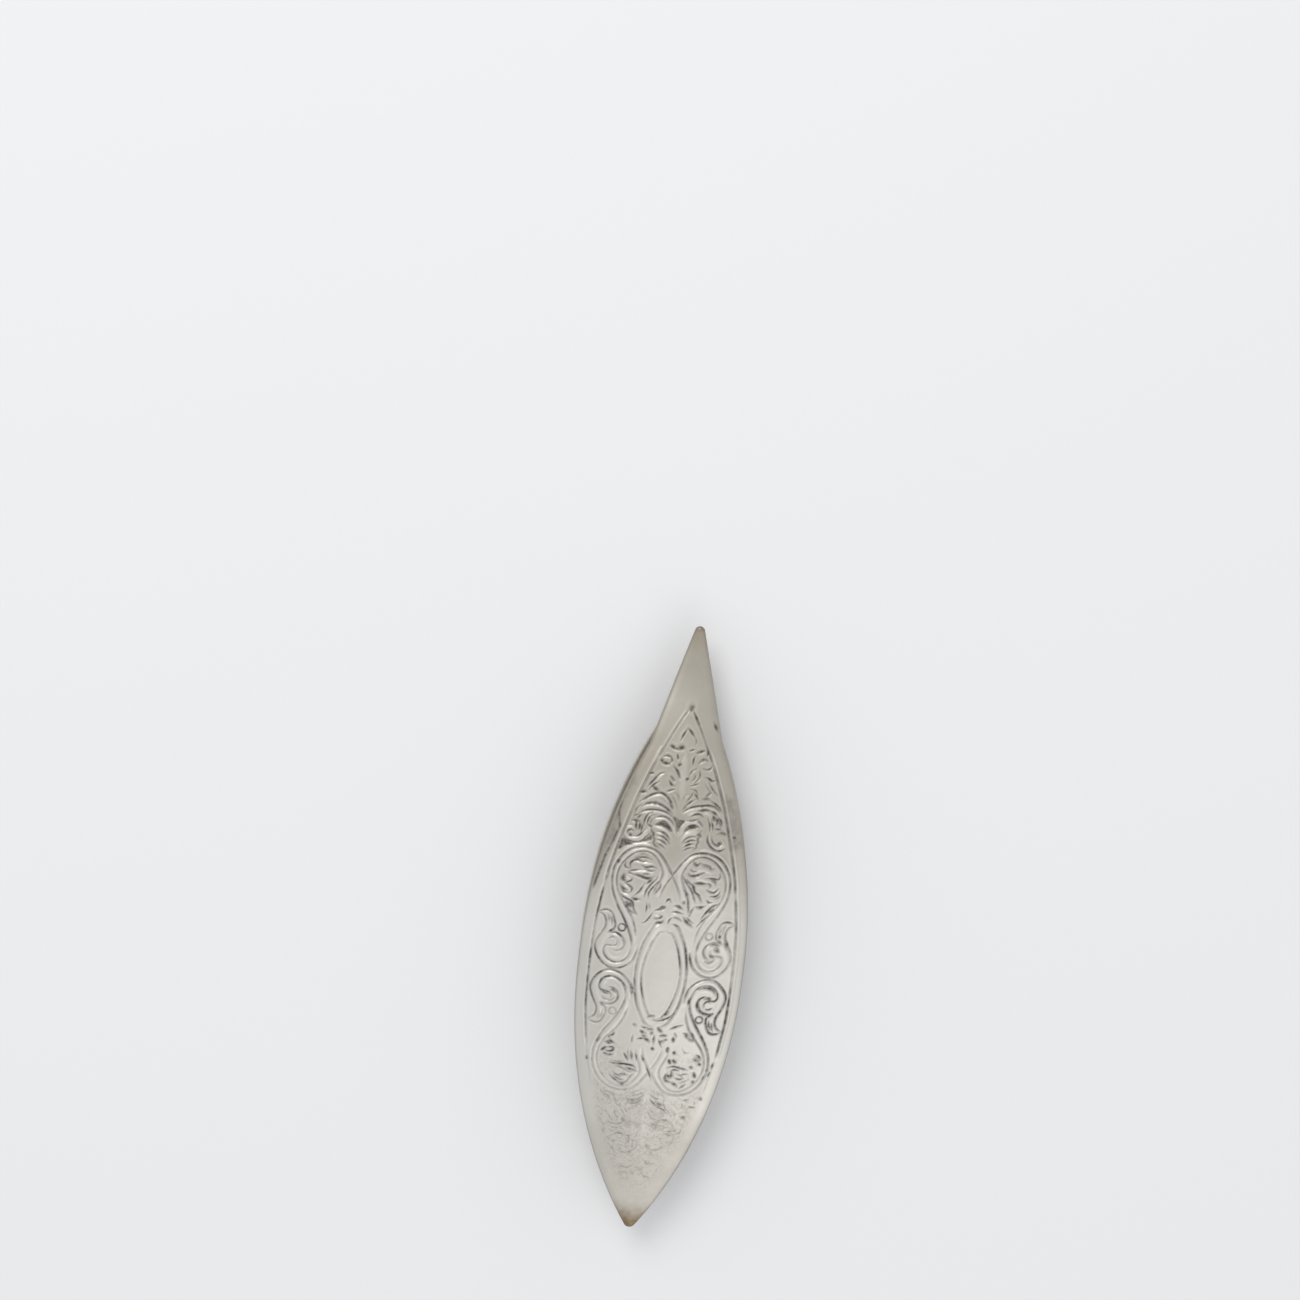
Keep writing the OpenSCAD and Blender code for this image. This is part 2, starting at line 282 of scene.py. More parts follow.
# The ornament's marks by kind, each a list of points in millimetres. Groups marked 4 are folded into one
# quarter: their points are distances across and along from the ornament's middle. Groups marked 2 are the
# same left and right, and those marked 1 stand as they are. Their y is the blade's own.
ORNAMENT = {
    "frame_middle": (4, {
        "cut": [[(9.95, -0.5), (9.92, 2.5), (9.8, 6.0), (9.55, 8.3), (9.3, 10.3), (9.05, 12.0)]],
        "thin": [[(10.28, -0.5), (10.25, 2.5), (10.12, 6.0), (9.85, 8.4), (9.6, 10.4), (9.35, 12.0)]],
    }),
    "cartouche": (4, {
        "line": [[(0.0, 6.6), (0.35, 6.35), (0.8, 6.25), (1.3, 5.5), (1.8, 4.4), (2.25, 2.9), (2.55, 1.4),
            (2.68, 0.0), (2.68, -0.5)]],
        "cut": [[(0.35, 7.65), (1.1, 7.5), (1.75, 6.95), (2.35, 5.8), (2.85, 4.6), (3.15, 3.4), (3.4, 1.9),
            (3.52, 0.7), (3.52, -0.5)]],
        "band": [[(0.4, 7.0), (1.2, 6.8), (1.8, 5.85), (2.35, 4.4), (2.7, 3.1), (3.0, 1.6), (3.1, -0.5)]],
    }),
    "scroll": (4, {
        "cut": [[(3.6, 3.7), (3.8, 2.6), (4.2, 1.6), (4.9, 0.85), (5.7, 0.35), (6.6, 0.15), (7.4, 0.25),
            (8.2, 0.7), (8.9, 1.5), (9.35, 2.4), (9.45, 3.2), (9.15, 4.2), (8.7, 5.1), (8.35, 5.9),
            (8.3, 6.7), (8.6, 7.4), (9.35, 7.9)], [(9.4, 7.9), (8.9, 8.2), (8.2, 8.3), (7.6, 8.0),
            (7.2, 7.2), (7.0, 6.4), (7.1, 5.8), (7.5, 5.3)], [(7.7, 5.15), (6.9, 5.3), (6.2, 5.05),
            (5.65, 4.5), (5.5, 3.8), (5.8, 3.1), (6.4, 2.72), (6.95, 2.75)]],
        "line": [[(7.95, 7.7), (7.55, 7.1), (7.42, 6.2)], [(8.2, 7.9), (7.95, 7.2), (7.85, 6.5)],
            [(4.5, 3.6), (4.7, 2.5), (5.25, 1.6), (6.0, 1.15), (6.7, 1.05), (7.45, 1.3), (8.05, 1.95),
            (8.25, 2.7), (8.0, 3.25), (7.3, 3.35), (6.75, 3.45), (6.45, 3.9), (6.6, 4.3)], [(7.7, 4.3),
            (7.2, 4.6), (6.8, 4.5)]],
        "heavy": [[(7.85, 5.15), (7.5, 5.45), (7.2, 5.75)]],
        "band": [[(4.0, 3.8), (4.25, 2.6), (4.8, 1.6), (5.6, 0.9), (6.6, 0.62), (7.6, 0.82), (8.4, 1.45),
            (8.85, 2.4), (8.75, 3.3), (8.4, 4.3), (7.95, 5.2), (7.85, 6.2), (8.1, 7.4)]],
        "thin": [[(7.3, 4.9), (6.7, 4.85), (6.15, 4.5), (5.95, 3.8), (6.3, 3.15), (6.9, 3.05)], [(7.5, 3.0),
            (7.75, 2.4), (7.3, 1.75), (6.6, 1.55), (5.9, 1.75), (5.3, 2.3), (5.0, 3.2)]],
    }),
    "stem": (4, {
        "cut": [[(4.45, 3.6), (4.65, 4.8), (5.05, 5.85), (5.6, 6.95), (6.25, 8.05), (6.85, 9.0),
            (7.4, 10.1), (7.85, 11.2), (8.1, 12.4), (8.12, 13.6), (7.95, 14.7), (7.5, 15.7), (6.9, 16.6),
            (6.1, 17.3), (5.1, 17.75), (4.1, 17.9), (3.1, 17.8), (2.2, 17.4), (1.5, 16.7), (0.9, 15.9),
            (0.4, 15.1), (-0.1, 14.3)]],
        "line": [[(-0.1, 14.5), (0.5, 13.5), (0.9, 12.7), (1.2, 11.9), (1.35, 11.1)], [(4.05, 5.3),
            (4.35, 6.6), (4.8, 7.7), (5.4, 8.7), (6.1, 9.6), (6.8, 10.6), (7.3, 11.7), (7.5, 12.8),
            (7.45, 13.9), (7.1, 15.0), (6.5, 15.9), (5.7, 16.7), (4.8, 17.2), (3.9, 17.35), (3.0, 17.1),
            (2.3, 16.5), (1.7, 15.6), (1.35, 14.6), (1.55, 13.6), (2.0, 12.6), (2.4, 11.4)]],
        "band": [[(4.2, 4.4), (4.5, 5.7), (5.0, 6.9), (5.7, 8.1), (6.4, 9.2), (7.1, 10.4), (7.6, 11.6),
            (7.8, 12.8), (7.8, 13.9), (7.5, 15.1), (6.8, 16.1), (5.9, 17.0), (4.9, 17.5), (3.8, 17.65),
            (2.7, 17.3), (1.9, 16.5), (1.2, 15.5), (0.85, 14.6), (1.1, 13.5), (1.6, 12.4), (1.9, 11.3)]],
        "thin": [[(8.4, 12.9), (8.3, 14.1), (7.95, 15.3), (7.4, 16.4), (6.6, 17.3), (5.5, 18.0),
            (4.2, 18.3), (3.1, 18.1)]],
    }),
    "frame_upper": (2, {
        "cut": [[(9.05, 11.75), (8.7, 13.95), (8.25, 15.95), (7.75, 17.95), (7.2, 19.95), (6.65, 21.95),
            (6.05, 23.95), (5.35, 25.95), (4.6, 27.95), (3.8, 29.95)]],
        "line": [[(3.8, 29.95), (2.85, 31.95), (1.9, 33.95), (0.8, 36.05), (0.1, 37.1)]],
        "thin": [[(9.35, 11.75), (9.0, 14.05), (8.55, 16.05), (8.05, 18.15), (7.5, 20.15), (6.95, 22.15),
            (6.35, 24.15), (5.65, 26.15), (4.9, 28.15), (4.1, 30.15), (3.5, 31.6)]],
    }),
    "frame_lower": (2, {
        "fine": [[(9.05, -12.25), (8.7, -14.45), (8.25, -16.45), (7.9, -17.85)]],
    }),
    "fountain": (2, {
        "line": [[(4.75, 22.95), (5.2, 22.5), (5.65, 21.95), (5.85, 21.25)]],
        "fine": [[(0.35, 23.35), (0.65, 24.15), (1.2, 24.85)], [(0.3, 24.45), (0.45, 25.25), (0.95, 25.6),
            (1.3, 25.25)]],
        "wide": [[(0.0, 25.15), (0.0, 26.75), (0.0, 28.75), (0.0, 30.95)]],
    }),
    "finial_left": (1, {
        "pocket": [[(0.12, 37.0), (0.15, 37.3)], [(-0.85, 31.7), (-0.6, 31.8)]],
        "line": [[(-0.15, 34.4), (-0.65, 33.5), (-0.9, 32.7)], [(-2.0, 30.4), (-1.8, 29.9), (-2.1, 29.5)],
            [(-1.15, 30.8), (-1.0, 30.2)], [(-2.6, 28.2), (-3.3, 27.9), (-4.0, 27.0), (-4.8, 25.9)],
            [(-3.2, 26.9), (-3.9, 26.4), (-4.5, 25.6)]],
        "heavy": [[(-2.1, 31.9), (-1.6, 31.6)], [(-3.0, 29.5), (-2.2, 29.4)], [(-4.0, 26.05), (-3.2, 25.6)],
            [(-5.6, 25.15), (-5.0, 25.25)]],
        "cut": [[(-1.6, 31.6), (-1.1, 31.5)], [(-2.9, 30.4), (-2.45, 30.5), (-2.0, 30.4)], [(-1.55, 29.2),
            (-0.95, 28.6), (-0.45, 27.6)], [(-1.75, 27.8), (-1.2, 27.2)], [(-1.9, 27.2), (-1.5, 26.65),
            (-1.0, 26.45)], [(-2.0, 25.7), (-1.1, 26.1)], [(-4.6, 27.85), (-4.2, 27.9)]],
        "pit": [[(-3.2, 29.8), (-3.15, 29.75)], [(-0.72, 29.45), (-0.68, 29.5)]],
        "thin": [[(-2.7, 27.9), (-3.4, 27.4), (-4.2, 26.4)]],
        # The dark line and shade on the left rim are painted: the polished rim's reflection of a dark
        # surrounding
        "painted_shade_line": [[(-7.2, 26.5), (-7.7, 24.5), (-8.15, 22.5), (-8.1, 21.2), (-7.9, 20.1), (-8.25, 18.9),
            (-8.6, 17.8), (-9.2, 16.3), (-9.6, 15.0), (-9.9, 13.6), (-10.25, 12.2), (-10.7, 10.5)]],
        "shade": [[(-6.6, 27.5), (-7.8, 24.5), (-8.5, 22.0), (-8.6, 19.5), (-9.2, 17.7), (-9.9, 16.0),
            (-10.25, 14.5), (-10.7, 12.0)]],
    }),
    "finial_right": (1, {
        "cut": [[(-0.1, 34.5), (0.4, 34.0), (0.9, 33.4)], [(0.4, 36.75), (0.85, 35.95), (1.3, 35.1),
            (1.6, 34.5)], [(2.8, 32.0), (3.0, 31.4), (2.9, 30.9)], [(2.5, 29.3), (3.0, 29.15), (3.5, 29.3),
            (3.8, 29.85)], [(2.9, 28.15), (3.4, 28.0), (4.0, 27.65), (4.5, 27.9)]],
        "fine": [[(0.9, 33.4), (1.2, 32.9), (1.2, 32.3)], [(3.0, 27.2), (3.6, 26.5), (4.2, 25.8)]],
        "line": [[(0.5, 31.5), (1.0, 31.7)], [(1.3, 30.8), (1.1, 30.3), (1.1, 29.6)], [(0.7, 28.0),
            (1.1, 28.8), (1.7, 29.2)], [(2.1, 29.0), (2.2, 28.0), (1.5, 27.2)], [(1.6, 28.3), (1.5, 27.8),
            (1.1, 27.3)], [(0.9, 26.7), (1.5, 26.9), (2.2, 27.2)], [(1.1, 26.4), (1.8, 26.2), (2.3, 25.6)],
            [(3.5, 27.5), (4.2, 26.5), (5.0, 25.7)]],
        "heavy": [[(1.5, 31.3), (1.9, 31.45), (2.4, 31.65)], [(1.9, 29.9), (2.3, 30.35), (2.7, 30.5),
            (3.1, 30.3)], [(3.4, 25.5), (3.95, 26.05)]],
        "pit": [[(0.5, 27.65), (0.55, 27.7)], [(7.75, 20.1), (8.0, 20.0)]],
        "shade": [[(7.9, 20.15), (8.4, 19.55), (9.0, 18.75)], [(8.4, 18.0), (8.0, 19.8), (7.3, 22.8),
            (6.2, 25.8)]],
        # Painted shade: a dark line near the pick's right edge
        "painted_shade_line": [[(3.3, 35.65), (3.6, 35.0), (4.0, 34.4)], [(3.35, 35.5), (3.65, 34.9), (4.0, 34.3)]],
    }),
    "lower_left": (1, {
        "heavy": [[(-6.6, -11.2), (-5.8, -10.95), (-5.1, -11.3)], [(-6.2, -11.3), (-5.6, -11.25)],
            [(-6.9, -12.5), (-6.4, -12.0)], [(-6.5, -12.95), (-6.0, -13.1)], [(-2.9, -11.9), (-2.7, -12.6),
            (-2.65, -13.3)], [(-3.9, -17.15), (-3.4, -17.25)], [(-1.85, -8.75), (-1.2, -9.1)],
            [(-0.9, -8.4), (-0.3, -8.35)], [(-1.3, -9.75), (-0.8, -10.0), (-0.5, -10.3)], [(-1.0, -6.5),
            (-0.3, -6.3)]],
        "cut": [[(-5.6, -9.3), (-5.5, -9.8), (-6.1, -10.3), (-5.8, -10.7)], [(-6.4, -12.0), (-5.5, -11.8),
            (-5.3, -12.2), (-5.8, -12.5), (-6.5, -12.4)], [(-6.0, -13.1), (-5.3, -12.9)], [(-3.8, -12.4),
            (-3.4, -13.0), (-3.1, -13.5)], [(-5.7, -14.15), (-4.7, -14.2), (-3.5, -14.1), (-2.3, -14.2),
            (-1.9, -14.6)], [(-3.4, -14.6), (-2.5, -14.75), (-1.6, -15.0)], [(-7.8, -11.6), (-7.6, -11.1),
            (-7.3, -10.6)], [(-2.2, -10.0), (-1.3, -9.8)], [(-1.3, -12.4), (-0.7, -13.6)]],
        "line": [[(-2.3, -12.0), (-2.0, -12.7), (-1.9, -13.4)], [(-4.9, -14.6), (-4.0, -14.65),
            (-3.2, -15.0), (-2.4, -15.2)], [(-4.2, -15.8), (-3.5, -15.6), (-2.9, -15.8)], [(-5.5, -16.1),
            (-4.7, -16.6), (-3.9, -17.0), (-3.1, -16.8), (-2.6, -16.0)], [(-4.9, -16.0), (-4.1, -16.5),
            (-3.3, -16.55)], [(-1.9, -8.0), (-1.3, -8.2), (-0.7, -8.1)], [(-2.9, -9.5), (-2.9, -10.7)],
            [(-1.6, -9.4), (-1.0, -9.5)], [(-0.7, -13.6), (0.0, -15.0), (0.5, -16.2)]],
        "fine": [[(-3.3, -11.6), (-3.2, -12.4), (-3.0, -13.2)], [(-5.6, -13.8), (-4.6, -13.85),
            (-3.6, -13.7)], [(-5.2, -15.4), (-4.6, -15.8), (-3.7, -16.2)], [(-2.9, -16.5), (-2.4, -15.7),
            (-2.1, -15.4)], [(-6.5, -16.1), (-6.4, -16.2)]],
        "pit": [[(-8.8, -13.95), (-8.8, -14.2)], [(-2.85, -7.9), (-2.7, -8.0)], [(-0.3, -8.8),
            (-0.3, -8.95)]],
        "thin": [[(-6.6, -11.7), (-5.9, -11.6), (-5.2, -11.6)], [(-5.4, -14.4), (-4.4, -14.4),
            (-3.4, -14.35), (-2.4, -14.5)]],
        "band": [[(-5.0, -15.6), (-4.2, -16.1), (-3.3, -16.2)]],
    }),
    "lower_right": (1, {
        "cut": [[(0.1, -9.2), (0.1, -10.6)], [(2.1, -8.1), (2.9, -7.7), (3.9, -7.3)], [(4.9, -8.2),
            (5.3, -8.6), (5.7, -9.1)], [(6.3, -11.7), (6.7, -12.0), (7.1, -12.6)], [(4.5, -17.0),
            (4.9, -16.7), (5.2, -16.4)], [(8.8, -13.0), (8.7, -13.9)], [(8.5, -14.4), (8.35, -14.95)]],
        "pit": [[(0.05, -11.2), (0.15, -11.3)], [(3.15, -11.55), (3.2, -11.65)], [(6.85, -13.15),
            (6.95, -13.2)], [(5.7, -13.65), (5.85, -13.75)], [(2.7, -15.2), (2.75, -15.3)], [(6.3, -15.95),
            (6.35, -16.05)], [(8.1, -14.05), (8.1, -14.2)]],
        "heavy": [[(0.5, -8.05), (1.05, -8.6)], [(1.0, -9.2), (1.7, -9.1)], [(1.0, -10.1), (1.4, -10.0)],
            [(2.2, -10.95), (2.2, -11.5)], [(2.8, -9.3), (2.85, -9.85)], [(4.1, -8.5), (4.5, -8.7),
            (4.7, -9.1), (5.1, -9.4)], [(5.1, -9.5), (5.8, -9.6)], [(2.6, -12.8), (2.75, -13.2)],
            [(3.2, -12.8), (3.5, -13.1)], [(2.5, -14.8), (2.3, -15.5), (2.6, -16.0), (3.3, -16.2)],
            [(3.3, -16.2), (3.8, -16.5), (4.1, -16.8)], [(3.1, -14.5), (3.2, -15.0), (2.9, -15.7)],
            [(6.3, -14.6), (6.5, -15.2)]],
        "line": [[(0.7, -9.6), (1.0, -10.3), (1.3, -10.9)], [(1.5, -9.8), (1.9, -9.7)], [(2.9, -8.6),
            (3.2, -9.2)], [(6.0, -12.3), (6.4, -12.7), (6.9, -12.7)], [(2.3, -14.0), (3.3, -13.7),
            (4.5, -13.95), (5.5, -14.15)], [(3.0, -14.4), (3.6, -14.2), (4.2, -14.35)], [(3.6, -15.4),
            (4.4, -15.65), (5.0, -15.4)], [(7.8, -14.8), (7.5, -15.8)]],
        "fine": [[(4.5, -8.3), (5.0, -8.9), (5.4, -9.3)], [(4.1, -15.1), (4.9, -14.8), (5.7, -14.8)],
            [(4.2, -16.2), (5.0, -16.0), (5.7, -15.5)]],
        "shade": [[(6.3, -12.0), (6.6, -13.0)]],
        "thin": [[(3.0, -14.0), (4.0, -14.05), (5.0, -14.3)], [(3.5, -15.0), (4.3, -15.3), (5.0, -15.1)]],
        "band": [[(1.1, -14.1), (1.7, -13.4), (2.3, -13.0)]],
    }),
    "fan_left": (1, {
        "cut": [[(-2.8, 20.1), (-1.9, 20.0), (-1.3, 19.6), (-0.9, 19.1)], [(-2.7, 19.5), (-1.9, 19.4),
            (-1.2, 18.9), (-0.9, 18.5)], [(-2.6, 19.0), (-1.8, 18.75), (-1.2, 18.3)]],
        "line": [[(-2.7, 18.5), (-2.0, 18.2), (-1.4, 17.8)], [(-3.7, 20.6), (-3.5, 20.0), (-3.2, 19.7),
            (-3.2, 19.2), (-3.0, 18.8), (-3.1, 18.4), (-2.7, 18.0), (-2.0, 17.7)]],
        "band": [[(-3.4, 20.6), (-2.5, 20.5), (-1.7, 20.2), (-1.1, 19.8), (-0.7, 19.2)]],
        "thin": [[(-2.9, 19.8), (-2.0, 19.7), (-1.3, 19.2)], [(-2.8, 19.2), (-1.9, 19.05), (-1.2, 18.6)],
            [(-2.8, 18.7), (-1.9, 18.45), (-1.4, 18.0)]],
    }),
    "fan_right": (1, {
        "cut": [[(2.7, 19.9), (1.9, 19.8), (1.2, 19.4), (0.8, 18.9)], [(2.7, 19.35), (1.9, 19.3),
            (1.1, 18.8)], [(2.5, 18.9), (1.7, 18.7), (1.0, 18.2)]],
        "line": [[(2.5, 18.4), (1.7, 18.2), (1.0, 17.8)], [(3.3, 20.8), (3.0, 20.3), (3.2, 19.9),
            (2.9, 19.6), (3.0, 19.1), (2.8, 18.7), (2.8, 18.3), (2.3, 18.0)]],
        "heavy": [[(2.9, 20.2), (3.2, 20.0)]],
        "band": [[(3.0, 20.5), (2.3, 20.4), (1.5, 20.1), (1.0, 19.7), (0.6, 19.2)]],
        "thin": [[(2.8, 19.6), (1.9, 19.55), (1.1, 19.1)], [(2.7, 19.1), (1.8, 19.0), (1.0, 18.5)],
            [(2.6, 18.6), (1.7, 18.45), (1.0, 18.0)]],
    }),
    "curls": (1, {
        "hollow": [[(-7.35, 18.45), (-6.6, 18.1), (-5.95, 17.85), (-6.9, 17.45), (-7.65, 16.75),
            (-7.75, 17.0)], [(-4.75, 18.45), (-4.0, 19.0), (-3.45, 19.5), (-3.3, 19.2), (-3.45, 18.75),
            (-4.1, 18.5)], [(-3.1, 20.95), (-2.6, 21.35), (-1.9, 21.4), (-1.2, 21.05), (-0.75, 20.3),
            (-1.0, 20.25), (-1.6, 20.65), (-2.3, 20.85)], [(-0.75, 22.35), (-0.35, 21.3), (-0.08, 20.4),
            (0.1, 20.4), (0.3, 21.1), (0.8, 21.8), (0.4, 22.0), (0.0, 22.0)], [(0.95, 20.55), (1.15, 21.05),
            (1.7, 21.45), (2.4, 21.5), (2.85, 21.2), (2.3, 20.95), (1.6, 20.8), (1.2, 20.45)]],
        "band": [[(-3.3, 21.3), (-2.8, 21.7), (-2.0, 21.8), (-1.2, 21.5), (-0.7, 20.9), (-0.4, 20.2),
            (0.0, 19.7)], [(0.0, 19.7), (0.5, 20.3), (0.7, 21.0), (1.2, 21.6), (1.9, 21.85), (2.6, 21.7),
            (3.1, 21.1)], [(-3.8, 20.2), (-4.4, 19.7), (-5.0, 19.0), (-5.8, 18.6), (-6.6, 18.7),
            (-7.05, 19.2), (-6.95, 19.8), (-6.5, 20.1), (-6.0, 20.0)], [(4.45, 20.3), (4.5, 19.5),
            (5.0, 18.8), (5.7, 18.45), (6.3, 18.5), (6.6, 19.0), (6.3, 19.5)]],
        "line": [[(-3.3, 21.9), (-2.4, 22.2), (-1.6, 22.1), (-0.9, 21.6), (-0.55, 21.0)], [(-2.7, 21.45),
            (-2.0, 21.55), (-1.4, 21.35)], [(3.4, 21.4), (2.9, 21.9), (2.5, 22.1)], [(-5.5, 22.2),
            (-4.5, 22.8), (-3.1, 23.0), (-1.7, 22.8), (-0.7, 22.2)], [(-4.7, 20.5), (-4.6, 21.5),
            (-4.2, 22.3), (-3.6, 22.6)], [(-4.25, 20.6), (-4.15, 21.5), (-3.8, 22.1), (-3.3, 22.3)],
            [(-4.9, 20.9), (-4.9, 20.2), (-5.0, 19.6)], [(-6.2, 21.5), (-5.9, 21.9), (-5.4, 22.0)],
            [(-5.6, 21.5), (-5.2, 22.0)], [(-7.25, 19.0), (-6.9, 18.45), (-6.2, 18.2), (-5.4, 18.2),
            (-4.7, 18.5), (-4.2, 19.1), (-3.7, 19.7)], [(-5.9, 18.95), (-5.3, 19.1), (-4.8, 19.6),
            (-4.4, 20.1)], [(4.75, 20.2), (4.85, 19.5), (5.3, 19.0), (5.9, 18.85), (6.2, 19.2),
            (6.0, 19.5)], [(5.0, 21.2), (5.6, 21.1), (6.2, 21.0)], [(3.9, 22.6), (4.3, 21.7), (4.4, 20.8)],
            [(4.4, 22.4), (4.7, 21.6), (4.8, 20.9)]],
        "cut": [[(1.2, 21.95), (2.0, 22.1), (2.8, 22.35)], [(-5.7, 21.0), (-5.7, 20.4), (-5.6, 19.9)],
            [(-5.25, 21.1), (-5.2, 20.4), (-5.3, 19.8)], [(-4.0, 20.75), (-3.6, 20.6)], [(-6.75, 19.1),
            (-6.7, 19.6), (-6.3, 19.8), (-5.9, 19.6)], [(4.2, 20.2), (4.25, 19.4), (4.7, 18.7), (5.4, 18.2),
            (6.2, 18.15), (6.8, 18.6)], [(4.85, 22.3), (5.3, 22.2), (5.3, 21.7)], [(5.3, 22.8), (5.8, 22.2),
            (6.0, 21.5)]],
        "thin": [[(-5.0, 22.2), (-4.0, 22.6), (-2.9, 22.7), (-1.8, 22.5), (-0.9, 21.9)], [(-4.45, 20.5),
            (-4.35, 21.5), (-4.0, 22.25), (-3.4, 22.45)], [(4.1, 22.7), (4.5, 21.8), (4.6, 20.8)]],
        "fine": [[(-3.8, 20.9), (-3.7, 21.5), (-3.4, 21.9)]],
        "heavy": [[(-6.3, 21.15), (-5.8, 21.1), (-5.3, 21.05)], [(5.5, 20.5), (6.1, 20.6), (6.8, 20.4)],
            [(4.7, 22.8), (4.85, 22.3)]],
        "pit": [[(-6.45, 19.05), (-6.3, 19.0)], [(5.85, 19.15), (5.95, 19.1)]],
    }),
    "arches": (1, {
        "cut": [[(-5.7, 23.7), (-4.3, 24.8), (-3.5, 25.2), (-2.7, 25.35), (-2.0, 25.0), (-1.5, 24.5),
            (-0.9, 23.5)], [(-5.2, 23.2), (-4.5, 23.7), (-3.5, 23.9), (-2.5, 23.7), (-1.6, 23.2),
            (-0.9, 22.6)], [(3.9, 25.05), (4.4, 24.8), (5.2, 24.2), (5.9, 23.4)], [(0.5, 23.1), (1.1, 23.6),
            (2.0, 24.0), (2.9, 24.15), (3.9, 24.3), (4.8, 24.1), (5.5, 23.5)], [(4.2, 23.6), (4.8, 23.3),
            (5.3, 22.9)], [(1.6, 22.6), (2.2, 22.95), (2.8, 23.0), (3.3, 22.7)]],
        "line": [[(-1.7, 24.2), (-1.3, 23.8), (-1.0, 23.3)], [(-6.1, 22.0), (-5.9, 22.8), (-5.4, 23.3)],
            [(0.4, 23.4), (0.9, 24.1), (1.5, 24.7), (2.1, 25.1)], [(0.7, 24.6), (1.3, 25.3), (1.5, 26.0)],
            [(1.6, 25.9), (2.0, 25.5), (2.4, 24.9)]],
        "thin": [[(-5.4, 23.7), (-4.3, 24.5), (-3.4, 24.9), (-2.7, 25.0), (-2.1, 24.7), (-1.6, 24.1),
            (-1.1, 23.3)], [(-5.0, 22.9), (-4.4, 23.35), (-3.5, 23.55), (-2.5, 23.4), (-1.7, 22.95),
            (-1.0, 22.4)], [(0.4, 22.8), (1.1, 23.3), (2.0, 23.7), (3.0, 23.9), (4.0, 24.0), (4.8, 23.8),
            (5.6, 23.1)], [(0.9, 22.6), (1.7, 23.0), (2.7, 23.3), (3.6, 23.3), (4.5, 22.9)]],
        "heavy": [[(-4.0, 23.9), (-3.4, 23.9), (-2.8, 23.8)], [(3.0, 25.15), (3.5, 25.15), (3.9, 25.05)],
            [(2.5, 23.45), (3.3, 23.6), (4.2, 23.6)]],
        "fine": [[(-0.4, 23.6), (-0.9, 24.6), (-1.5, 25.3)]],
    }),
    "medallion_left": (1, {
        "heavy": [[(-7.8, 14.6), (-7.6, 15.1), (-7.3, 15.6)], [(-5.4, 13.65), (-4.5, 13.6), (-3.7, 13.4),
            (-3.1, 13.4), (-2.5, 13.75)], [(-7.0, 12.0), (-6.5, 11.5), (-5.9, 11.3)], [(-5.2, 10.4),
            (-4.7, 10.2), (-4.0, 10.3)], [(-5.3, 9.6), (-5.2, 9.0)]],
        "cut": [[(-5.8, 14.5), (-5.9, 15.1), (-5.5, 15.6), (-4.9, 15.8), (-4.3, 15.6), (-3.7, 15.8)],
            [(-4.4, 15.1), (-3.7, 14.9), (-2.9, 15.1), (-2.2, 14.9)], [(-4.0, 13.9), (-3.3, 14.0)],
            [(-6.4, 12.5), (-5.9, 12.5), (-5.5, 12.8), (-5.4, 13.2)], [(-6.4, 12.35), (-5.7, 12.0),
            (-5.3, 11.7), (-5.4, 11.2), (-5.7, 10.9)], [(-7.0, 10.9), (-6.5, 10.4), (-5.8, 10.1),
            (-5.2, 9.9), (-4.9, 9.5), (-4.8, 8.9), (-4.5, 8.4), (-4.1, 8.0)], [(-2.6, 13.5), (-3.0, 13.0),
            (-3.4, 12.6)], [(-6.5, 9.7), (-6.0, 9.2), (-5.5, 8.7), (-4.9, 8.3), (-4.2, 8.0)], [(-2.1, 11.3),
            (-1.6, 12.2), (-1.4, 12.9)]],
        "line": [[(-6.5, 15.3), (-6.6, 14.7), (-6.2, 14.4), (-5.8, 14.5)], [(-5.4, 16.0), (-4.5, 16.2),
            (-3.7, 16.25), (-3.0, 16.0)], [(-4.0, 14.65), (-3.1, 14.45), (-2.4, 14.6)], [(-6.1, 14.0),
            (-5.5, 14.2), (-4.5, 14.45)], [(-6.0, 13.8), (-5.4, 13.65)], [(-6.9, 11.5), (-6.3, 11.0),
            (-5.7, 10.9)], [(-3.6, 12.8), (-3.9, 12.1), (-4.2, 11.5), (-4.6, 11.0), (-5.0, 10.6)],
            [(-5.8, 8.7), (-5.2, 8.1), (-4.8, 7.6)], [(-3.5, 10.7), (-3.3, 11.7), (-2.7, 12.7),
            (-2.1, 13.5), (-1.95, 14.1)], [(-3.0, 10.5), (-2.9, 11.5), (-2.2, 12.6), (-1.6, 13.4)],
            [(-3.1, 10.0), (-3.0, 9.2), (-3.1, 8.5)]],
        "fine": [[(-4.9, 16.5), (-4.2, 16.7), (-3.5, 16.6)], [(-2.7, 9.9), (-2.6, 9.2)]],
        "pocket": [[(-6.6, 13.35), (-6.65, 12.8), (-6.4, 12.6)], [(-5.8, 9.5), (-5.5, 9.2)]],
        "thin": [[(-6.2, 13.3), (-6.1, 12.95), (-5.8, 12.9)], [(-5.2, 15.3), (-4.5, 15.4), (-3.6, 15.35),
            (-2.8, 15.4)], [(-5.5, 13.9), (-4.6, 14.1), (-3.6, 14.2), (-2.7, 14.2)], [(-6.7, 11.8),
            (-6.1, 11.7), (-5.6, 11.5)], [(-6.6, 10.8), (-6.0, 10.5), (-5.2, 10.2)], [(-3.4, 12.4),
            (-3.8, 11.4), (-4.3, 10.8)]],
        "band": [[(-3.2, 10.8), (-3.0, 11.9), (-2.4, 12.9), (-1.9, 13.7), (-1.6, 14.6)]],
    }),
    "medallion_right": (1, {
